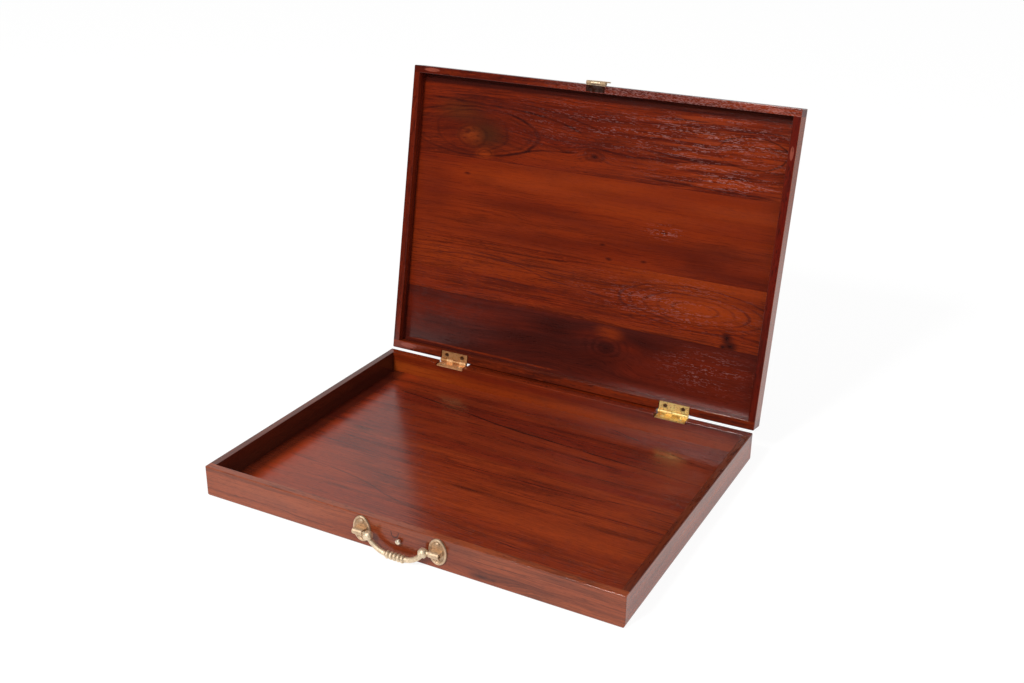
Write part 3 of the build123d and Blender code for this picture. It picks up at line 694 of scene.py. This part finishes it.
def lid_wall_board(wood, name, axes, seed, light, plugs=(), brown_outside=False, glints_from=None):
    """A wall of the lid, with plugs on its rim, a browner outer face or painted glints as pale specks on its
    rim.
    """
    board = Board(wood, name, axes, seed, waviness=3.0, on_lid=True)
    red = between(wood.red, wood.dark, 0.45)
    board.figure(red, between(wood.red, wood.orange, light), lines=0.45, fibres=0.4, coarse=0.6)
    if brown_outside:
        board.lay(board.rise(abs(board.through), outer_face - 0.5, outer_face - 0.1) * 0.8, wood.brown)
    for spot, radii in plugs:
        board.plug(spot, radii)
    board.pores()
    if glints_from is not None:
        # painted glints: pale specks on the rim, from a place along the wall on
        fine = board.vector(board.along / 2.2, board.across, board.through / 0.55)
        rim = board.rise(board.across, lid_rim + 0.7, lid_rim + 0.3)
        reach = board.rise(board.along, glints_from - 60, glints_from + 40)
        board.lay(board.rise(board.noise(fine), 0.44, 0.66) * rim * reach * 0.42, wood.pale)
    return board.varnished()


def dress(name, material):
    """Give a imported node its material, in every slot."""
    slots = nodes[name].data.materials
    for index in range(len(slots)):
        slots[index] = material


class DITTYBOX_OT_base_wood(bpy.types.Operator):
    """Varnish the walls and the bottom of the base"""

    bl_idname = "dittybox.base_wood"
    bl_label = "Base wood"

    def execute(self, context):
        wood = context.scene.ditty_box.wood
        dress("base_front_wall", base_front_board(wood))
        dress("base_back_wall", base_back_board(wood))
        dress("base_left_wall", base_end_board(wood, "Base left wood", 5.3, 0.9))
        dress("base_right_wall", base_end_board(wood, "Base right wood", 9.6, 0.6))
        seams = seam_lines("bottom_board", 3)
        for index, board in enumerate((bottom_board_front, bottom_board_middle, bottom_board_back), 1):
            dress(f"bottom_board_{index}", board(wood, seams))
        dress("stop_batten", batten_board(wood))
        return {"FINISHED"}


class DITTYBOX_OT_lid_wood(bpy.types.Operator):
    """Varnish the walls and the top boards of the lid"""

    bl_idname = "dittybox.lid_wood"
    bl_label = "Lid wood"

    def execute(self, context):
        wood = context.scene.ditty_box.wood
        front_plugs = (((-201, -163), (10, 2.0)), ((199, -162), (8, 1.8)))
        back_plugs = (((-203, 161), (11, 2.6)),)
        right_plugs = (((-122, 221), (7, 1.8)),)
        for side, axes, seed, light, marks in (
            ("front", "XZY", 65.2, 0.5, {"plugs": front_plugs, "glints_from": -20}),
            ("back", "XZY", 67.9, 0.5, {"plugs": back_plugs}),
            ("left", "YZX", 71.5, 0.1, {}),
            ("right", "YZX", 73.3, -0.3, {"plugs": right_plugs, "brown_outside": True}),
        ):
            dress(f"lid_{side}_wall", lid_wall_board(wood, f"Lid {side} wood", axes, seed, light, **marks))
        seams = seam_lines("lid_board", 4, on_lid=True)
        boards = (lid_board_first, lid_board_second, lid_board_third, lid_board_fourth)
        for index, board in enumerate(boards, 1):
            dress(f"lid_board_{index}", board(wood, seams))
        return {"FINISHED"}


# ---- Brass -----------------------------------------------------------------------------
def brass_material(name, brass, tone, grain, wear, dull, barrel=None, hollow=None, grooves=()):
    """Worn brass: cloudy colour, brown tarnish in patches and fine scratches. It is cleaner round a barrel,
    and darker above the depth of a hollow and in grooves, with tarnish and painted shade."""
    paint = Paint(name)
    coordinates = paint.place(1 / MM)
    x, y, z = paint.split(coordinates)
    clouds = paint.noise(coordinates, scale=0.16, detail=3)
    mottle = paint.noise(coordinates, scale=0.55, detail=4, roughness=0.65)
    grit = paint.noise(coordinates, scale=2.6, detail=3)
    pale = tuple(min(1.0, channel * 1.12 + 0.05) for channel in tone)
    # the tarnish film, also laid as painted shade in hollows and grooves
    film = between(brass.tarnish, tone, 0.3)
    paint.colour = paint.mix(paint.rise(clouds, 0.35, 0.65), tone, pale)
    paint.lay(paint.rise(mottle, 0.50, 0.66) * wear, film)
    paint.lay(paint.rise(grit, 0.52, 0.66) * wear * 0.5, film)
    if barrel is not None:
        off_y, off_z = y - barrel.y, z - barrel.z
        paint.lay(paint.rise((off_y * off_y + off_z * off_z) ** 0.5, 2.9, 2.4) * 0.9, brass.hasp)
    # tarnish and painted shade in the plate's hollow field
    if hollow is not None:
        paint.lay(paint.rise(y, hollow - 0.35, hollow + 0.05) * 0.4, film)
    # tarnish and painted shade in the grooves between the rings
    for groove in grooves:
        paint.lay(paint.rise(abs(x - groove), 0.95, 0.3) * 0.5, film)
    rough = paint.rise(mottle, 0.3, 0.8) * 0.18 + paint.rise(grit, 0.3, 0.7) * 0.08 + (brass.roughness + dull)
    return paint.finish({"Metallic": 1.0, "Roughness": rough}, mottle * 0.7 + grit * 0.5, grain, 0.0003)


def middle_of(name):
    low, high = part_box(name)
    return (low + high) / 2


def brass_kinds(context):
    """The box's brasses, made once: tone, grain, wear and dullness, then special places."""
    brass, handle = context.scene.ditty_box.brass, context.scene.ditty_box.handle
    hollow = (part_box("handle_plate_left")[1].y - handle.field) / MM
    first_groove = middle_of("handle_bail").x - handle.ring_count / 2 * handle.ring_pitch
    grooves = [(first_groove + index * handle.ring_pitch) / MM for index in range(handle.ring_count + 1)]
    dark_screw = between(brass.tarnish, brass.stain, 0.3)
    kinds = {
        "Hinge brass": (brass.hinge, 0.9, 0.9, 0.14),
        "Brown hinge brass": (between(brass.copper, brass.tarnish, 0.15), 0.9, 0.6, 0.14),
        "Rubbed brown hinge brass": (brass.rubbed, 0.9, 0.6, 0.30),
        "Hasp brass": (brass.hasp, 0.2, 0.4, 0.10),
        "Handle brass": (brass.handle, 0.55, 0.3, 0.2, None, hollow),
        "Bail brass": (brass.bail, 0.4, 0.3, 0.2, None, None, grooves),
        "Bright screw brass": (brass.screw, 0.2, 0.2, 0.0),
        "Dark screw brass": (dark_screw, 0.3, 0.5, 0.0),
        "Stained brass": (brass.stain, 0.2, 0.3, 0.4, middle_of("hasp_pin") / MM),
    }
    made = bpy.data.materials
    return {name: made.get(name) or brass_material(name, brass, *finish) for name, finish in kinds.items()}


class DITTYBOX_OT_brass(bpy.types.Operator):
    """Give the hinges, the hasp and the stud their brass"""

    bl_idname = "dittybox.brass"
    bl_label = "Hinges, hasp and stud"

    def execute(self, context):
        kinds = brass_kinds(context)
        for name, kind in (
            ("left_hinge_base_leaf", "Rubbed brown hinge brass"),
            ("left_hinge_lid_leaf", "Brown hinge brass"),
            ("left_hinge_pin", "Brown hinge brass"),
            ("right_hinge_base_leaf", "Hinge brass"),
            ("right_hinge_lid_leaf", "Hinge brass"),
            ("right_hinge_pin", "Hinge brass"),
            ("hasp_leaf", "Stained brass"),
            ("hasp_flap", "Hasp brass"),
            ("hasp_pin", "Hasp brass"),
            ("catch_stud", "Bright screw brass"),
        ):
            dress(name, kinds[kind])
        return {"FINISHED"}


# ---- Meshes ----------------------------------------------------------------------------
def new_piece(name, mesh, body, slot, replaced):
    piece = bpy.data.objects.new(name, mesh)
    bpy.context.scene.collection.objects.link(piece)
    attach(piece, body)
    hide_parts(*replaced)


def crease(shape, sharpest):
    """Shade a shape smooth, with its edges sharp from an angle on."""
    for face in shape.faces:
        face.smooth = True
    for edge in shape.edges:
        edge.smooth = len(edge.link_faces) == 2 and edge.calc_face_angle(0.0) < sharpest


def mesh_from(shape, name, material, sharpest=math.radians(35)):
    """Turn a shape into a mesh with one material."""
    bmesh.ops.remove_doubles(shape, verts=shape.verts, dist=1e-7)
    bmesh.ops.recalc_face_normals(shape, faces=shape.faces)
    crease(shape, sharpest)
    mesh = bpy.data.meshes.new(name)
    shape.to_mesh(mesh)
    shape.free()
    mesh.materials.append(material)
    return mesh


def round_steps(count):
    """Cosine and sine at equal steps round a circle."""
    steps = [2 * math.pi * index / count for index in range(count)]
    return [(math.cos(step), math.sin(step)) for step in steps]


def skin(shape, loops):
    """Join closed loops of the same length with faces, each to the next."""
    for first, second in zip(loops, loops[1:]):
        for index in range(len(first)):
            after = (index + 1) % len(first)
            shape.faces.new((first[index], first[after], second[after], second[index]))


def lathe(profile, count=40):
    """A closed turned shape about Z, from (radius, height) points that start and end on the axis."""
    shape = bmesh.new()
    loops = [
        [shape.verts.new((radius * c, radius * s, height)) for c, s in round_steps(count)]
        for radius, height in profile[1:-1]
    ]
    skin(shape, loops)
    for (_, height), loop in ((profile[0], loops[0]), (profile[-1], loops[-1])):
        tip = shape.verts.new((0, 0, height))
        for index in range(count):
            shape.faces.new((loop[index], loop[(index + 1) % count], tip))
    return shape


# ---- Handle plates ---------------------------------------------------------------------
def handle_plate(handle, node_name, material):
    """An oval plate with a rounded raised border, and the socket barrel across it."""
    low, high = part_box(node_name)
    centre = (low + high) / 2
    half_x, half_z = (high.x - low.x) / 2, (high.z - low.z) / 2
    rim, field, border = handle.rim, handle.field, handle.border
    # how far in from the plate's edge, and how high above the wall
    profile = [
        (0.0, 0.0), (0.0, rim * 0.62), (0.12 * border, rim * 0.86),
        (0.32 * border, rim), (0.66 * border, rim), (0.88 * border, rim * 0.92),
        (1.0 * border, field * 1.12), (1.12 * border, field), (2.2 * border, field),
    ]
    shape = bmesh.new()
    loops = [
        [
            shape.verts.new((
                centre.x + (half_x - inset) * c, front_y - height, centre.z + (half_z - inset) * s
            ))
            for c, s in round_steps(72)
        ]
        for inset, height in profile
    ]
    skin(shape, loops)
    shape.faces.new(loops[0])
    shape.faces.new(loops[-1])
    add_socket(shape, handle, Vector((centre.x, bail_point.y, bail_point.z)))
    return mesh_from(shape, node_name, material)


def add_socket(shape, handle, pivot):
    """The barrel that holds the bail's pin: round outside, standing on the plate."""
    half, web = handle.socket_length / 2, handle.socket_web / 2
    outer, bore, ease = handle.socket_radius, handle.socket_bore, handle.socket_ease
    foot = front_y - pivot.y - handle.socket_foot

    def section(x, radius, footed):
        loop = []
        for c, s in round_steps(40):
            y, z = -radius * c, radius * s
            if y > 0 and footed:
                # the half towards the wall runs straight to the plate
                y, z = min(y * 3.0, foot), max(-web, min(web, z))
            loop.append(shape.verts.new((pivot.x + x, pivot.y + y, pivot.z + z)))
        return loop

    loops = [
        section(-half, bore, False), section(-half, outer - ease, True), section(ease - half, outer, True),
        section(half - ease, outer, True), section(half, outer - ease, True), section(half, bore, False),
    ]
    skin(shape, [*loops, loops[0]])


class DITTYBOX_OT_handle_plates(bpy.types.Operator):
    """Model the two oval plates that carry the handle"""

    bl_idname = "dittybox.handle_plates"
    bl_label = "Handle plates"

    def execute(self, context):
        material = brass_kinds(context)["Handle brass"]
        for side in ("left", "right"):
            node_name = f"handle_plate_{side}"
            mesh = handle_plate(context.scene.ditty_box.handle, node_name, material)
            new_piece(f"{side}_handle_plate", mesh, "base", "handle_brass", (node_name,))
        return {"FINISHED"}


# ---- Geometry Nodes --------------------------------------------------------------------
class Recipe:
    """A Geometry Nodes tree with named inputs, made into a plain mesh by bake()."""

    def __init__(self, name, inputs):
        self.tree = bpy.data.node_groups.new(name, "GeometryNodeTree")
        self.tree.interface.new_socket("Geometry", in_out="INPUT", socket_type="NodeSocketGeometry")
        self.values = {}
        for label, (kind, value) in inputs.items():
            socket = self.tree.interface.new_socket(label, in_out="INPUT", socket_type=f"NodeSocket{kind}")
            self.values[socket.identifier] = value
        self.tree.interface.new_socket("Geometry", in_out="OUTPUT", socket_type="NodeSocketGeometry")
        self.source = self.tree.nodes.new("NodeGroupInput")

    def given(self, label):
        return Socket(self.tree, self.source.outputs[label])

    def add(self, kind, settings=None, inputs=None):
        return node(self.tree, kind, settings, inputs)

    def close(self, geometry):
        """End the tree: real geometry with its material."""
        real = self.add("GeometryNodeRealizeInstances", inputs={"Geometry": geometry})[0]
        inputs = {"Geometry": real, "Material": self.given("Material")}
        dressed = self.add("GeometryNodeSetMaterial", inputs=inputs)[0]
        self.add("NodeGroupOutput", inputs={"Geometry": dressed})

    def bake(self, name, mesh):
        """Run the tree on a mesh and keep the result as a plain mesh."""
        carrier = bpy.data.objects.new(name, mesh)
        bpy.context.scene.collection.objects.link(carrier)
        modifier = carrier.modifiers.new(name, "NODES")
        modifier.node_group = self.tree
        for identifier, value in self.values.items():
            modifier[identifier] = value
        graph = bpy.context.evaluated_depsgraph_get()
        made = bpy.data.meshes.new_from_object(carrier.evaluated_get(graph))
        carrier.modifiers.remove(modifier)
        bpy.data.objects.remove(carrier)
        made.name = name
        return made


# ---- Screws ----------------------------------------------------------------------------
# What they ride with, where their heads face, and their sizes in millimetres: the head's
# radius, the height of its dome (0 if it is flat), the shank's radius and the length.
Screws = namedtuple("Screws", "body slot brass normal radius dome shank reach")

UP, FORWARD = (0, 0, 1), (0, -1, 0)
OUT_OF_LID = (0, -math.sin(lid_open), -math.cos(lid_open))
SCREWS = {
    "hinge_base_screws": Screws("base", "hinge_brass", "Bright screw brass", UP, 2.3, 0, 1.1, 9.0),
    "hinge_lid_screws": Screws("lid", "hinge_brass", "Dark screw brass", OUT_OF_LID, 2.3, 0, 1.1, 9.0),
    "hasp_screws": Screws("lid", "hasp_brass", "Stained brass", OUT_OF_LID, 1.7, 0, 0.9, 7.0),
    "handle_plate_screws": Screws("base", "handle_brass", "Handle brass", FORWARD, 2.4, 1.2, 1.1, 8.6),
}


def screws_recipe(head, settings, material):
    """Slotted screws: the slot is cut once, and each screw is turned at random."""
    recipe = Recipe("Slotted screws", {
        "Head": ("Object", head),
        "Slot width": ("Float", settings.slot_width),
        "Slot depth": ("Float", settings.slot_depth),
        "Slot reach": ("Float", settings.slot_reach),
        "Slot seed": ("Int", settings.seed),
        "Material": ("Material", material),
    })
    given, add = recipe.given, recipe.add
    shape = add("GeometryNodeObjectInfo", inputs={"Object": given("Head")})[-1]
    size = add("ShaderNodeCombineXYZ", inputs={
        0: given("Slot reach"), 1: given("Slot width"), 2: given("Slot depth") * 2,
    })[0]
    cutter = add("GeometryNodeMeshCube", inputs={"Size": size})[0]
    cut = add("GeometryNodeMeshBoolean", {"operation": "DIFFERENCE", "solver": "EXACT"}, {
        "Mesh 1": shape, "Mesh 2": cutter,
    })[0]
    facing = add("GeometryNodeInputNamedAttribute", {"data_type": "FLOAT_VECTOR"}, {"Name": "facing"})[0]
    turn = add("FunctionNodeAlignRotationToVector", {"axis": "Z"}, {"Vector": facing})[0]
    chance = add("FunctionNodeRandomValue", {"data_type": "FLOAT"}, {
        2: 0.0, 3: math.pi, "Seed": given("Slot seed"),
    })[1]
    spin = add("FunctionNodeAxisAngleToRotation", inputs={"Axis": UP, "Angle": chance})[0]
    both = add("FunctionNodeRotateRotation", {"rotation_space": "LOCAL"}, {
        "Rotation": turn, "Rotate By": spin,
    })[0]
    recipe.close(add("GeometryNodeInstanceOnPoints", inputs={
        "Points": given("Geometry"), "Instance": cut, "Rotation": both,
    })[0])
    return recipe


def islands(name):
    """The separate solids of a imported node, each as its points."""
    shape = bmesh.new()
    shape.from_mesh(nodes[name].data)
    bmesh.ops.remove_doubles(shape, verts=shape.verts, dist=1e-7)
    left = set(shape.verts)
    found = []
    while left:
        group, edge = set(), [left.pop()]
        while edge:
            vertex = edge.pop()
            group.add(vertex)
            near = {other for link in vertex.link_edges for other in link.verts if other in left}
            left -= near
            edge.extend(near)
        found.append([vertex.co.copy() for vertex in group])
    shape.free()
    return found


def screw_places(name, normal):
    """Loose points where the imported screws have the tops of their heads, each facing out."""
    normal = Vector(normal).normalized()
    places = []
    for points in islands(name):
        top = max(point.dot(normal) for point in points)
        # the middle of the screw's bounding box, not of its uneven points
        low = Vector([min(point[axis] for point in points) for axis in range(3)])
        high = Vector([max(point[axis] for point in points) for axis in range(3)])
        middle = (low + high) / 2
        places.append(middle + normal * (top - middle.dot(normal)))
    # a fixed order, so that each screw draws the same turn every time
    places.sort(key=lambda spot: [round(value, 4) for value in spot])
    mesh = bpy.data.meshes.new(f"{name}_places")
    mesh.from_pydata([tuple(spot) for spot in places], [], [])
    facing = mesh.attributes.new("facing", "FLOAT_VECTOR", "POINT")
    for value in facing.data:
        value.vector = normal
    return mesh


def screw_head(name, kind, material):
    """A screw turned about Z, its highest point at the origin."""
    radius, dome, shank, reach = [size * MM for size in (kind.radius, kind.dome, kind.shank, kind.reach)]
    if dome:
        steps = [0.5 * math.pi * step / 6 for step in range(7)]
        crown = [(radius * math.sin(step), -dome * (1 - math.cos(step))) for step in steps]
        neck = dome + 0.05 * MM
    else:
        crown = [(0, 0), (radius - 0.15 * MM, 0), (radius, -0.12 * MM)]
        neck = radius - shank + 0.15 * MM
    mesh = mesh_from(lathe([*crown, (shank, -neck), (shank, -reach), (0, -reach)]), name, material)
    head = bpy.data.objects.new(name, mesh)
    bpy.context.scene.collection.objects.link(head)
    return head


class DITTYBOX_OT_screws(bpy.types.Operator):
    """Cut and place the slotted screws of the hinges, the hasp and the handle"""

    bl_idname = "dittybox.screws"
    bl_label = "Screws"

    def execute(self, context):
        kinds = brass_kinds(context)
        for node_name, kind in SCREWS.items():
            material = kinds[kind.brass]
            head = screw_head(f"{node_name}_head", kind, material)
            recipe = screws_recipe(head, context.scene.ditty_box.screws, material)
            mesh = recipe.bake(f"{node_name}_mesh", screw_places(node_name, kind.normal))
            bpy.data.objects.remove(head)
            shape = bmesh.new()
            shape.from_mesh(mesh)
            crease(shape, math.radians(35))
            shape.to_mesh(mesh)
            shape.free()
            name = node_name.replace("_screws", "_slotted_screws")
            new_piece(name, mesh, kind.body, kind.slot, (node_name,))
        return {"FINISHED"}


# ---- Bail ------------------------------------------------------------------------------
def bail_path(middle, handle, drop, half_span):
    """The bail's middle line from collar to collar, two arcs and a flat, and half its length."""
    flat = handle.flat / 2
    turn = 2 * math.atan2(drop - handle.collar_drop, half_span - flat)
    radius = (half_span - flat) / math.sin(turn)
    steps = [turn * step / 24 for step in range(25)]
    arm = [(flat + radius * math.sin(step), -drop + radius * (1 - math.cos(step))) for step in steps]
    line = [(-x, z) for x, z in reversed(arm)] + arm
    points = [(middle + x, bail_point.y, bail_point.z + z) for x, z in line]
    mesh = bpy.data.meshes.new("bail_path")
    mesh.from_pydata(points, [(index, index + 1) for index in range(len(points) - 1)], [])
    return mesh, sum(math.dist(a, b) for a, b in zip(points, points[1:])) / 2


def bail_recipe(handle, material, half_length):
    """A bar swept along the bail, its radius ruled by the distance from the middle."""
    sizes = ("grip_radius", "end_radius", "ring_radius", "groove_radius", "ring_pitch")
    recipe = Recipe("Turned bail", {
        **{name: ("Float", getattr(handle, name)) for name in sizes},
        "ring_count": ("Int", handle.ring_count),
        "half_length": ("Float", half_length),
        "Material": ("Material", material),
    })
    add = recipe.add
    grip, end, ring, groove, pitch = [recipe.given(name) for name in sizes]
    half = recipe.given("half_length")
    path = add("GeometryNodeMeshToCurve", inputs={0: recipe.given("Geometry")})[0]
    fine = add("GeometryNodeResampleCurve", inputs={"Curve": path, "Count": 420})[0]
    off_middle = abs(add("GeometryNodeSplineParameter")[1] - half)
    taper = grip + (end - grip) * (off_middle / half)
    wave = half.math("COSINE", off_middle / pitch * (2 * math.pi))
    ringed = groove + (ring - groove) * (wave * 0.5 + 0.5) ** 0.55
    inside = half.math("LESS_THAN", off_middle, pitch * recipe.given("ring_count") * 0.5)
    radius = taper + (ringed - taper) * inside
    shaped = add("GeometryNodeSetCurveRadius", inputs={"Curve": fine, "Radius": radius})[0]
    circle = add("GeometryNodeCurvePrimitiveCircle", {"mode": "RADIUS"}, {"Resolution": 40, "Radius": 1.0})[0]
    recipe.close(add("GeometryNodeCurveToMesh", inputs={
        "Curve": shaped, "Profile Curve": circle, "Scale": radius, "Fill Caps": True,
    })[0])
    return recipe


def add_collar(shape, centre, handle):
    """A block with its edges cut to facets."""
    size = (handle.collar_length, handle.collar_size, handle.collar_size, 1)
    made = bmesh.ops.create_cube(shape, size=1.0, matrix=Matrix.Translation(centre) @ Matrix.Diagonal(size))
    edges = list({edge for vertex in made["verts"] for edge in vertex.link_edges})
    bmesh.ops.bevel(shape, geom=edges, offset=handle.collar_chamfer, segments=1, profile=0.5, affect="EDGES")


def add_pin(shape, start, hand, handle):
    """A round pin out of a collar's middle, its end a little rounded."""
    radius = handle.pin_radius
    ease = 0.25 * radius
    end = start.x + hand * (handle.pin_length + handle.collar_length / 2)
    loops = [
        [shape.verts.new((x, start.y + size * c, start.z + size * s)) for c, s in round_steps(32)]
        for x, size in ((start.x, radius), (end - hand * ease, radius), (end, radius - ease))
    ]
    skin(shape, loops)
    shape.faces.new(loops[0])
    shape.faces.new(loops[-1])


class DITTYBOX_OT_bail(bpy.types.Operator):
    """Turn the bail: its grip with rings, its collars and its pins"""

    bl_idname = "dittybox.bail"
    bl_label = "Bail"

    def execute(self, context):
        handle = context.scene.ditty_box.handle
        material = brass_kinds(context)["Bail brass"]
        low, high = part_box("handle_bail")
        middle = (low.x + high.x) / 2
        collar_middle = (high.x - low.x) / 2 - handle.pin_length - handle.collar_length / 2
        drop = bail_point.z - low.z - handle.ring_reach
        path, half_length = bail_path(middle, handle, drop, collar_middle)
        shape = bmesh.new()
        shape.from_mesh(bail_recipe(handle, material, half_length).bake("bail_bar", path))
        for hand in (-1, 1):
            pin = Vector((middle + hand * collar_middle, bail_point.y, bail_point.z))
            add_collar(shape, pin - Vector((0, 0, handle.collar_drop)), handle)
            add_pin(shape, pin, hand, handle)
        mesh = mesh_from(shape, "bail_mesh", material, math.radians(40))
        new_piece("turned_bail", mesh, "bail", "handle_brass", ("handle_bail",))
        return {"FINISHED"}


# ---- Studio ----------------------------------------------------------------------------
def light_path(tree):
    """1 for the camera and for reflections and refractions, and 1 for the camera alone."""
    rays = {socket.output.name: socket for socket in node(tree, "ShaderNodeLightPath")}
    camera = rays["Is Camera Ray"]
    either = camera.math("MAXIMUM", camera, rays["Is Glossy Ray"])
    return camera.math("MAXIMUM", either, rays["Is Transmission Ray"]), camera


def floor_material(studio):
    """Plain white where it is seen, darkened by the box's shadow. In reflections it ends
    a little in front of the box, where the dark room begins, and dims far behind it."""
    paint = Paint("Pale floor")
    seen, camera = light_path(paint.tree)
    y = paint.split(paint.place(1.0))[1]
    table = paint.rise(y, studio.table_front - 0.08, studio.table_front + 0.08)
    far = paint.rise(y, 0.4, 1.2)
    mirrored = (table * (1.0 - studio.room) + studio.room) * (1.0 - far * 0.6)
    bright = camera * studio.floor_glow + (1.0 - camera) * mirrored
    matt = paint.add("ShaderNodeBsdfDiffuse", inputs={"Color": (*[studio.floor_tone] * 3, 1.0)})[0]
    glow = paint.add("ShaderNodeEmission", inputs={"Color": (1.0, 1.0, 1.0, 1.0), "Strength": bright})[0]
    mirror_share = 1.0 - table * (1.0 - studio.mirror_white) * (1.0 - far)
    white = camera * studio.floor_white + (1.0 - camera) * seen * mirror_share
    mixed = paint.add("ShaderNodeMixShader", inputs={0: white, 1: matt, 2: glow})[0]
    paint.add("ShaderNodeOutputMaterial", inputs={"Surface": mixed})
    return paint.material


def studio_world(studio):
    """White behind the box for the camera and in reflections, a dark room in front of it and
    above it, and an even fill for plain light."""
    world = bpy.data.worlds.new("Studio")
    world.use_nodes = True
    tree = world.node_tree
    tree.nodes.clear()
    seen, camera = light_path(tree)
    x, y, z = node(tree, "ShaderNodeSeparateXYZ", inputs={0: node(tree, "ShaderNodeTexCoord")[0]})
    behind = climb(tree, y * 0.95 - x * 0.3 - z * 0.25, -0.05, 0.35, studio.room, studio.backdrop)
    mirrored = behind + (1.0 - behind) * camera
    side = climb(tree, x, 0.1, 0.95, studio.fill, studio.side_fill)
    plain = side + climb(tree, z, 0.35, 1.0, 0.0, studio.top_fill)
    strength = plain + (mirrored - plain) * seen
    glow = node(tree, "ShaderNodeBackground", inputs={"Color": (1.0, 1.0, 1.0, 1.0), "Strength": strength})[0]
    node(tree, "ShaderNodeOutputWorld", inputs={"Surface": glow})
    return world


def floor_plane(studio):
    reach = studio.floor_reach
    mesh = bpy.data.meshes.new("floor")
    corners = [(-reach, -reach, 0), (reach, -reach, 0), (reach, reach, 0), (-reach, reach, 0)]
    mesh.from_pydata(corners, [], [(0, 1, 2, 3)])
    mesh.materials.append(floor_material(studio))
    return bpy.data.objects.new("floor", mesh)


def key_light(studio):
    light = bpy.data.lights.new("Key light", "AREA")
    light.shape = "SQUARE"
    light.size = studio.key_size
    light.energy = studio.key_power
    light.color = studio.key_tone
    lamp = bpy.data.objects.new("Key light", light)
    lamp.location = studio.key_place
    lamp.rotation_euler = (studio.key_target - studio.key_place).to_track_quat("-Z", "Y").to_euler()
    return lamp


def main_camera(studio):
    turn, dip, roll = studio.camera_turn, studio.camera_dip, studio.camera_roll
    ahead = Vector((-math.sin(turn) * math.cos(dip), math.cos(turn) * math.cos(dip), -math.sin(dip)))
    right = Vector((math.cos(turn), math.sin(turn), 0))
    up = right.cross(ahead)
    level = right * math.cos(roll) + up * math.sin(roll)
    upright = up * math.cos(roll) - right * math.sin(roll)
    lens = bpy.data.cameras.new("Camera")
    lens.sensor_width = 36.0
    lens.lens = studio.lens
    camera = bpy.data.objects.new("Camera", lens)
    turned = Matrix((level, upright, -ahead)).transposed().to_4x4()
    camera.matrix_world = Matrix.Translation(studio.camera_place) @ turned
    return camera


class DITTYBOX_OT_studio(bpy.types.Operator):
    """Set up the pale floor, the soft light and the camera"""

    bl_idname = "dittybox.studio"
    bl_label = "Studio"

    def execute(self, context):
        scene = context.scene
        studio = scene.ditty_box.studio
        floor, lamp, camera = floor_plane(studio), key_light(studio), main_camera(studio)
        for piece in (floor, lamp, camera):
            scene.collection.objects.link(piece)
        scene.world = studio_world(studio)
        scene.camera = camera
        scene.view_settings.view_transform = "Standard"
        return {"FINISHED"}


# ---- Add-on ----------------------------------------------------------------------------
OPERATORS = (
    DITTYBOX_OT_base_wood,
    DITTYBOX_OT_lid_wood,
    DITTYBOX_OT_brass,
    DITTYBOX_OT_handle_plates,
    DITTYBOX_OT_screws,
    DITTYBOX_OT_bail,
    DITTYBOX_OT_studio,
)


class DITTYBOX_PT_sidebar(bpy.types.Panel):
    """Lists the box's pieces"""

    bl_label = "Ditty box"
    bl_idname = "DITTYBOX_PT_sidebar"
    bl_space_type = "VIEW_3D"
    bl_region_type = "UI"
    bl_category = "Ditty Box"

    def draw(self, context):
        for operator in OPERATORS:
            self.layout.operator(operator.bl_idname)
        for name in ("wood", "brass", "handle", "screws", "studio"):
            group = getattr(context.scene.ditty_box, name)
            box = self.layout.box()
            for key in group.__annotations__:
                box.prop(group, key)


CLASSES = (
    WoodSettings, BrassSettings, HandleSettings, ScrewSettings, StudioSettings, BoxSettings,
    *OPERATORS, DITTYBOX_PT_sidebar,
)


def register():
    for cls in CLASSES:
        bpy.utils.register_class(cls)
    bpy.types.Scene.ditty_box = PointerProperty(type=BoxSettings)


def unregister():
    del bpy.types.Scene.ditty_box
    for cls in reversed(CLASSES):
        bpy.utils.unregister_class(cls)


def main():
    register()
    bpy.ops.dittybox.base_wood()
    bpy.ops.dittybox.lid_wood()
    bpy.ops.dittybox.brass()
    bpy.ops.dittybox.handle_plates()
    bpy.ops.dittybox.screws()
    bpy.ops.dittybox.bail()
    bpy.ops.dittybox.studio()


if __name__ == "__main__":
    main()
